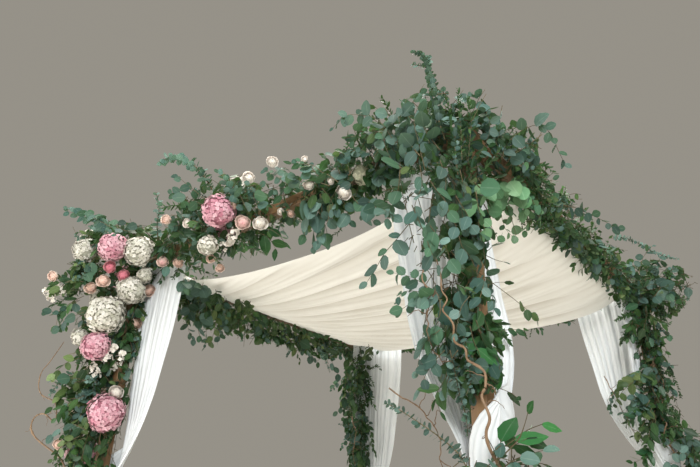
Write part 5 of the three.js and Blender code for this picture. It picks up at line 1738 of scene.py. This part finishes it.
        (OLIVE, 1.4, 214, 304, 216, 318, 214, 332, 210, 344),
        (DOLLAR, 0.9, 188, 298, 190, 314, 188, 328, 194, 340),
        (DOLLAR, 0.9, 206, 304, 208, 320, 206, 334, 204, 348),
        (DOLLAR, 0.9, 222, 308, 226, 320, 222, 332, 218, 340),
        (DOLLAR, 0.9, 250, 312, 258, 324, 264, 332, 268, 340),
        (SPIRAL, 0.9, 284, 326, 286, 338, 290, 348, 286, 358),
        (SPIRAL, 0.9, 318, 342, 322, 352, 326, 362, 330, 372),
        (MYRTLE, 1.0, 300, 336, 306, 346, 312, 352, 320, 356),
        (DOLLAR, 0.8, 352, 378, 342, 380, 336, 384, 332, 390),
    ],
}
# Along these stretches of timber in the photo, short branches hang close in front of it: two ends,
# how many branches, and how large their leaves are.
COVERED = [
    ((464, 138), (473, 262), 34, 1.15), ((474, 312), (481, 384), 16, 1.1), ((378, 170), (452, 138), 18, 1.1),
    ((296, 205), (378, 168), 30, 1.3), ((361, 352), (363, 467), 40, 1.4), ((350, 362), (353, 467), 30, 1.4),
    ((536, 196), (572, 234), 16, 1.2), ((570, 232), (640, 300), 34, 1.1), ((637, 298), (643, 340), 12, 1.1),
    ((650, 368), (662, 430), 16, 1.1), ((138, 296), (128, 350), 16, 1.2), ((113, 414), (100, 467), 14, 1.2),
    ((184, 286), (250, 312), 18, 1.1),
]
COVER_KINDS = (DARK, OLIVE, DOLLAR, MYRTLE)
COVER = {"raised": 7, "aside": 3.5, "along": 2, "drift": 4.0, "stray": 1.2, "steps": 3, "fall": 8}


def cover_branches(rng):
    """A short hanging branch after the other along each stretch, as lines in the photo."""
    for (ax, ay), (bx, by), count, scale in COVERED:
        for i in range(count):
            f = (i + rng.uniform(-0.5, 0.5)) / (count - 1)
            x = ax + (bx - ax) * f + rng.normal(0, COVER["aside"])
            y = ay + (by - ay) * f - COVER["raised"] + rng.normal(0, COVER["along"])
            drift = rng.normal(0, COVER["drift"])
            places = []
            for step in range(COVER["steps"] + 1):
                stray = rng.normal(0, COVER["stray"])
                places += [x + drift * step / COVER["steps"] + stray, y + COVER["fall"] * step]
            yield (COVER_KINDS[int(rng.integers(0, len(COVER_KINDS)))], scale, *places)


LAID["timber_cover"] = list(cover_branches(np.random.default_rng(401)))
# What a group hangs in front of, how far in front of it, and how much larger its leaves are.
IN_FRONT_OF = {"greenery": (greenery_surface,), "frame": (blockers,), "all": (greenery_surface, blockers)}
HUNG = {
    "near_post": ("frame", 0.045, 1.0), "left_post": ("frame", 0.045, 1.25),
    "timber_cover": ("frame", 0.035, 1.0), "left_beam_edge": ("all", 0.03, 1.2),
    "back_right_drape": ("all", 0.05, 1.0), "back_right_hanging": ("all", 0.06, 1.0),
    "back_left_drape": ("all", 0.05, 1.0), "near_light": ("greenery", 0.075, 1.0),
    "left_corner": ("greenery", 0.045, 1.40), "left_beam": ("greenery", 0.035, 1.15),
    "right_beam": ("greenery", 0.035, 1.25),
}
AS_MOST = ("greenery", 0.035, 1.0)
BEHIND = 0.015
BRANCH = {"points": 13, "bare": 0.04}


def depths_along(path, surfaces, proud, nearest_of):
    """How far off each place of a branch lies: as far as what is behind it there or beside it."""
    order = np.arange(len(path))
    xs, ys = zip(*path)
    found = []
    for i in order:
        places = np.clip(i + (np.linspace(-1, 1, 9) if nearest_of else np.zeros(1)), 0, len(path) - 1)
        spots = [surface.ray_cast(EYE, sight(x, y).normalized())[0] for surface in surfaces
                 for x, y in zip(np.interp(places, order, xs), np.interp(places, order, ys))]
        found.append(min(((spot - EYE).dot(look) for spot in spots if spot), default=None))
    known = [i for i, depth in enumerate(found) if depth]
    if not known:
        return [(seat(*path[0])[0] - EYE).dot(look)] * len(path)
    nearest = [found[min(known, key=lambda k: abs(k - i))] for i in order]
    edge = [nearest[0]] + nearest + [nearest[-1]]
    return [(nearest[i] if nearest_of else sum(edge[i:i + 3]) / 3) - proud for i in order]


def pulled_in(x, y, depth):
    """A place of a branch, moved along the line of sight until it lies inside the canopy's width."""
    while (EYE + sight(x, y) * depth).x < 0.03 - SPAN["reach"]:
        depth -= 0.02
    while (EYE + sight(x, y) * depth).y < 0.06 - SPAN["reach"]:
        depth += 0.02
    return x, y, depth


for group, branches in LAID.items():
    bunch = Bunch()
    behind, proud, larger = HUNG.get(group, AS_MOST)
    for seed, (kind, scale, *places) in enumerate(branches, start=len(group) * 100):
        rng = np.random.default_rng(seed)
        path = list(zip(places[::2], places[1::2]))
        depths = depths_along(path, IN_FRONT_OF[behind], proud, behind != "greenery")
        if group == "flower_stem":
            depths = [(seat(x, y)[0] - EYE).dot(look) + BEHIND for x, y in path]
        route = in_view([pulled_in(x, y, depth) for (x, y), depth in zip(path, depths)])
        stem = through(route, BRANCH["points"])
        toward = np.array((EYE - Vector(stem[BRANCH["points"] // 2])).normalized())
        leafy(rng, bunch, kind, stem[None], toward[None], BRANCH["bare"], scale * larger, BARE)
    finished(bunch.build(f"{group}_sprays"), leaf.material)

low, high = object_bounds()
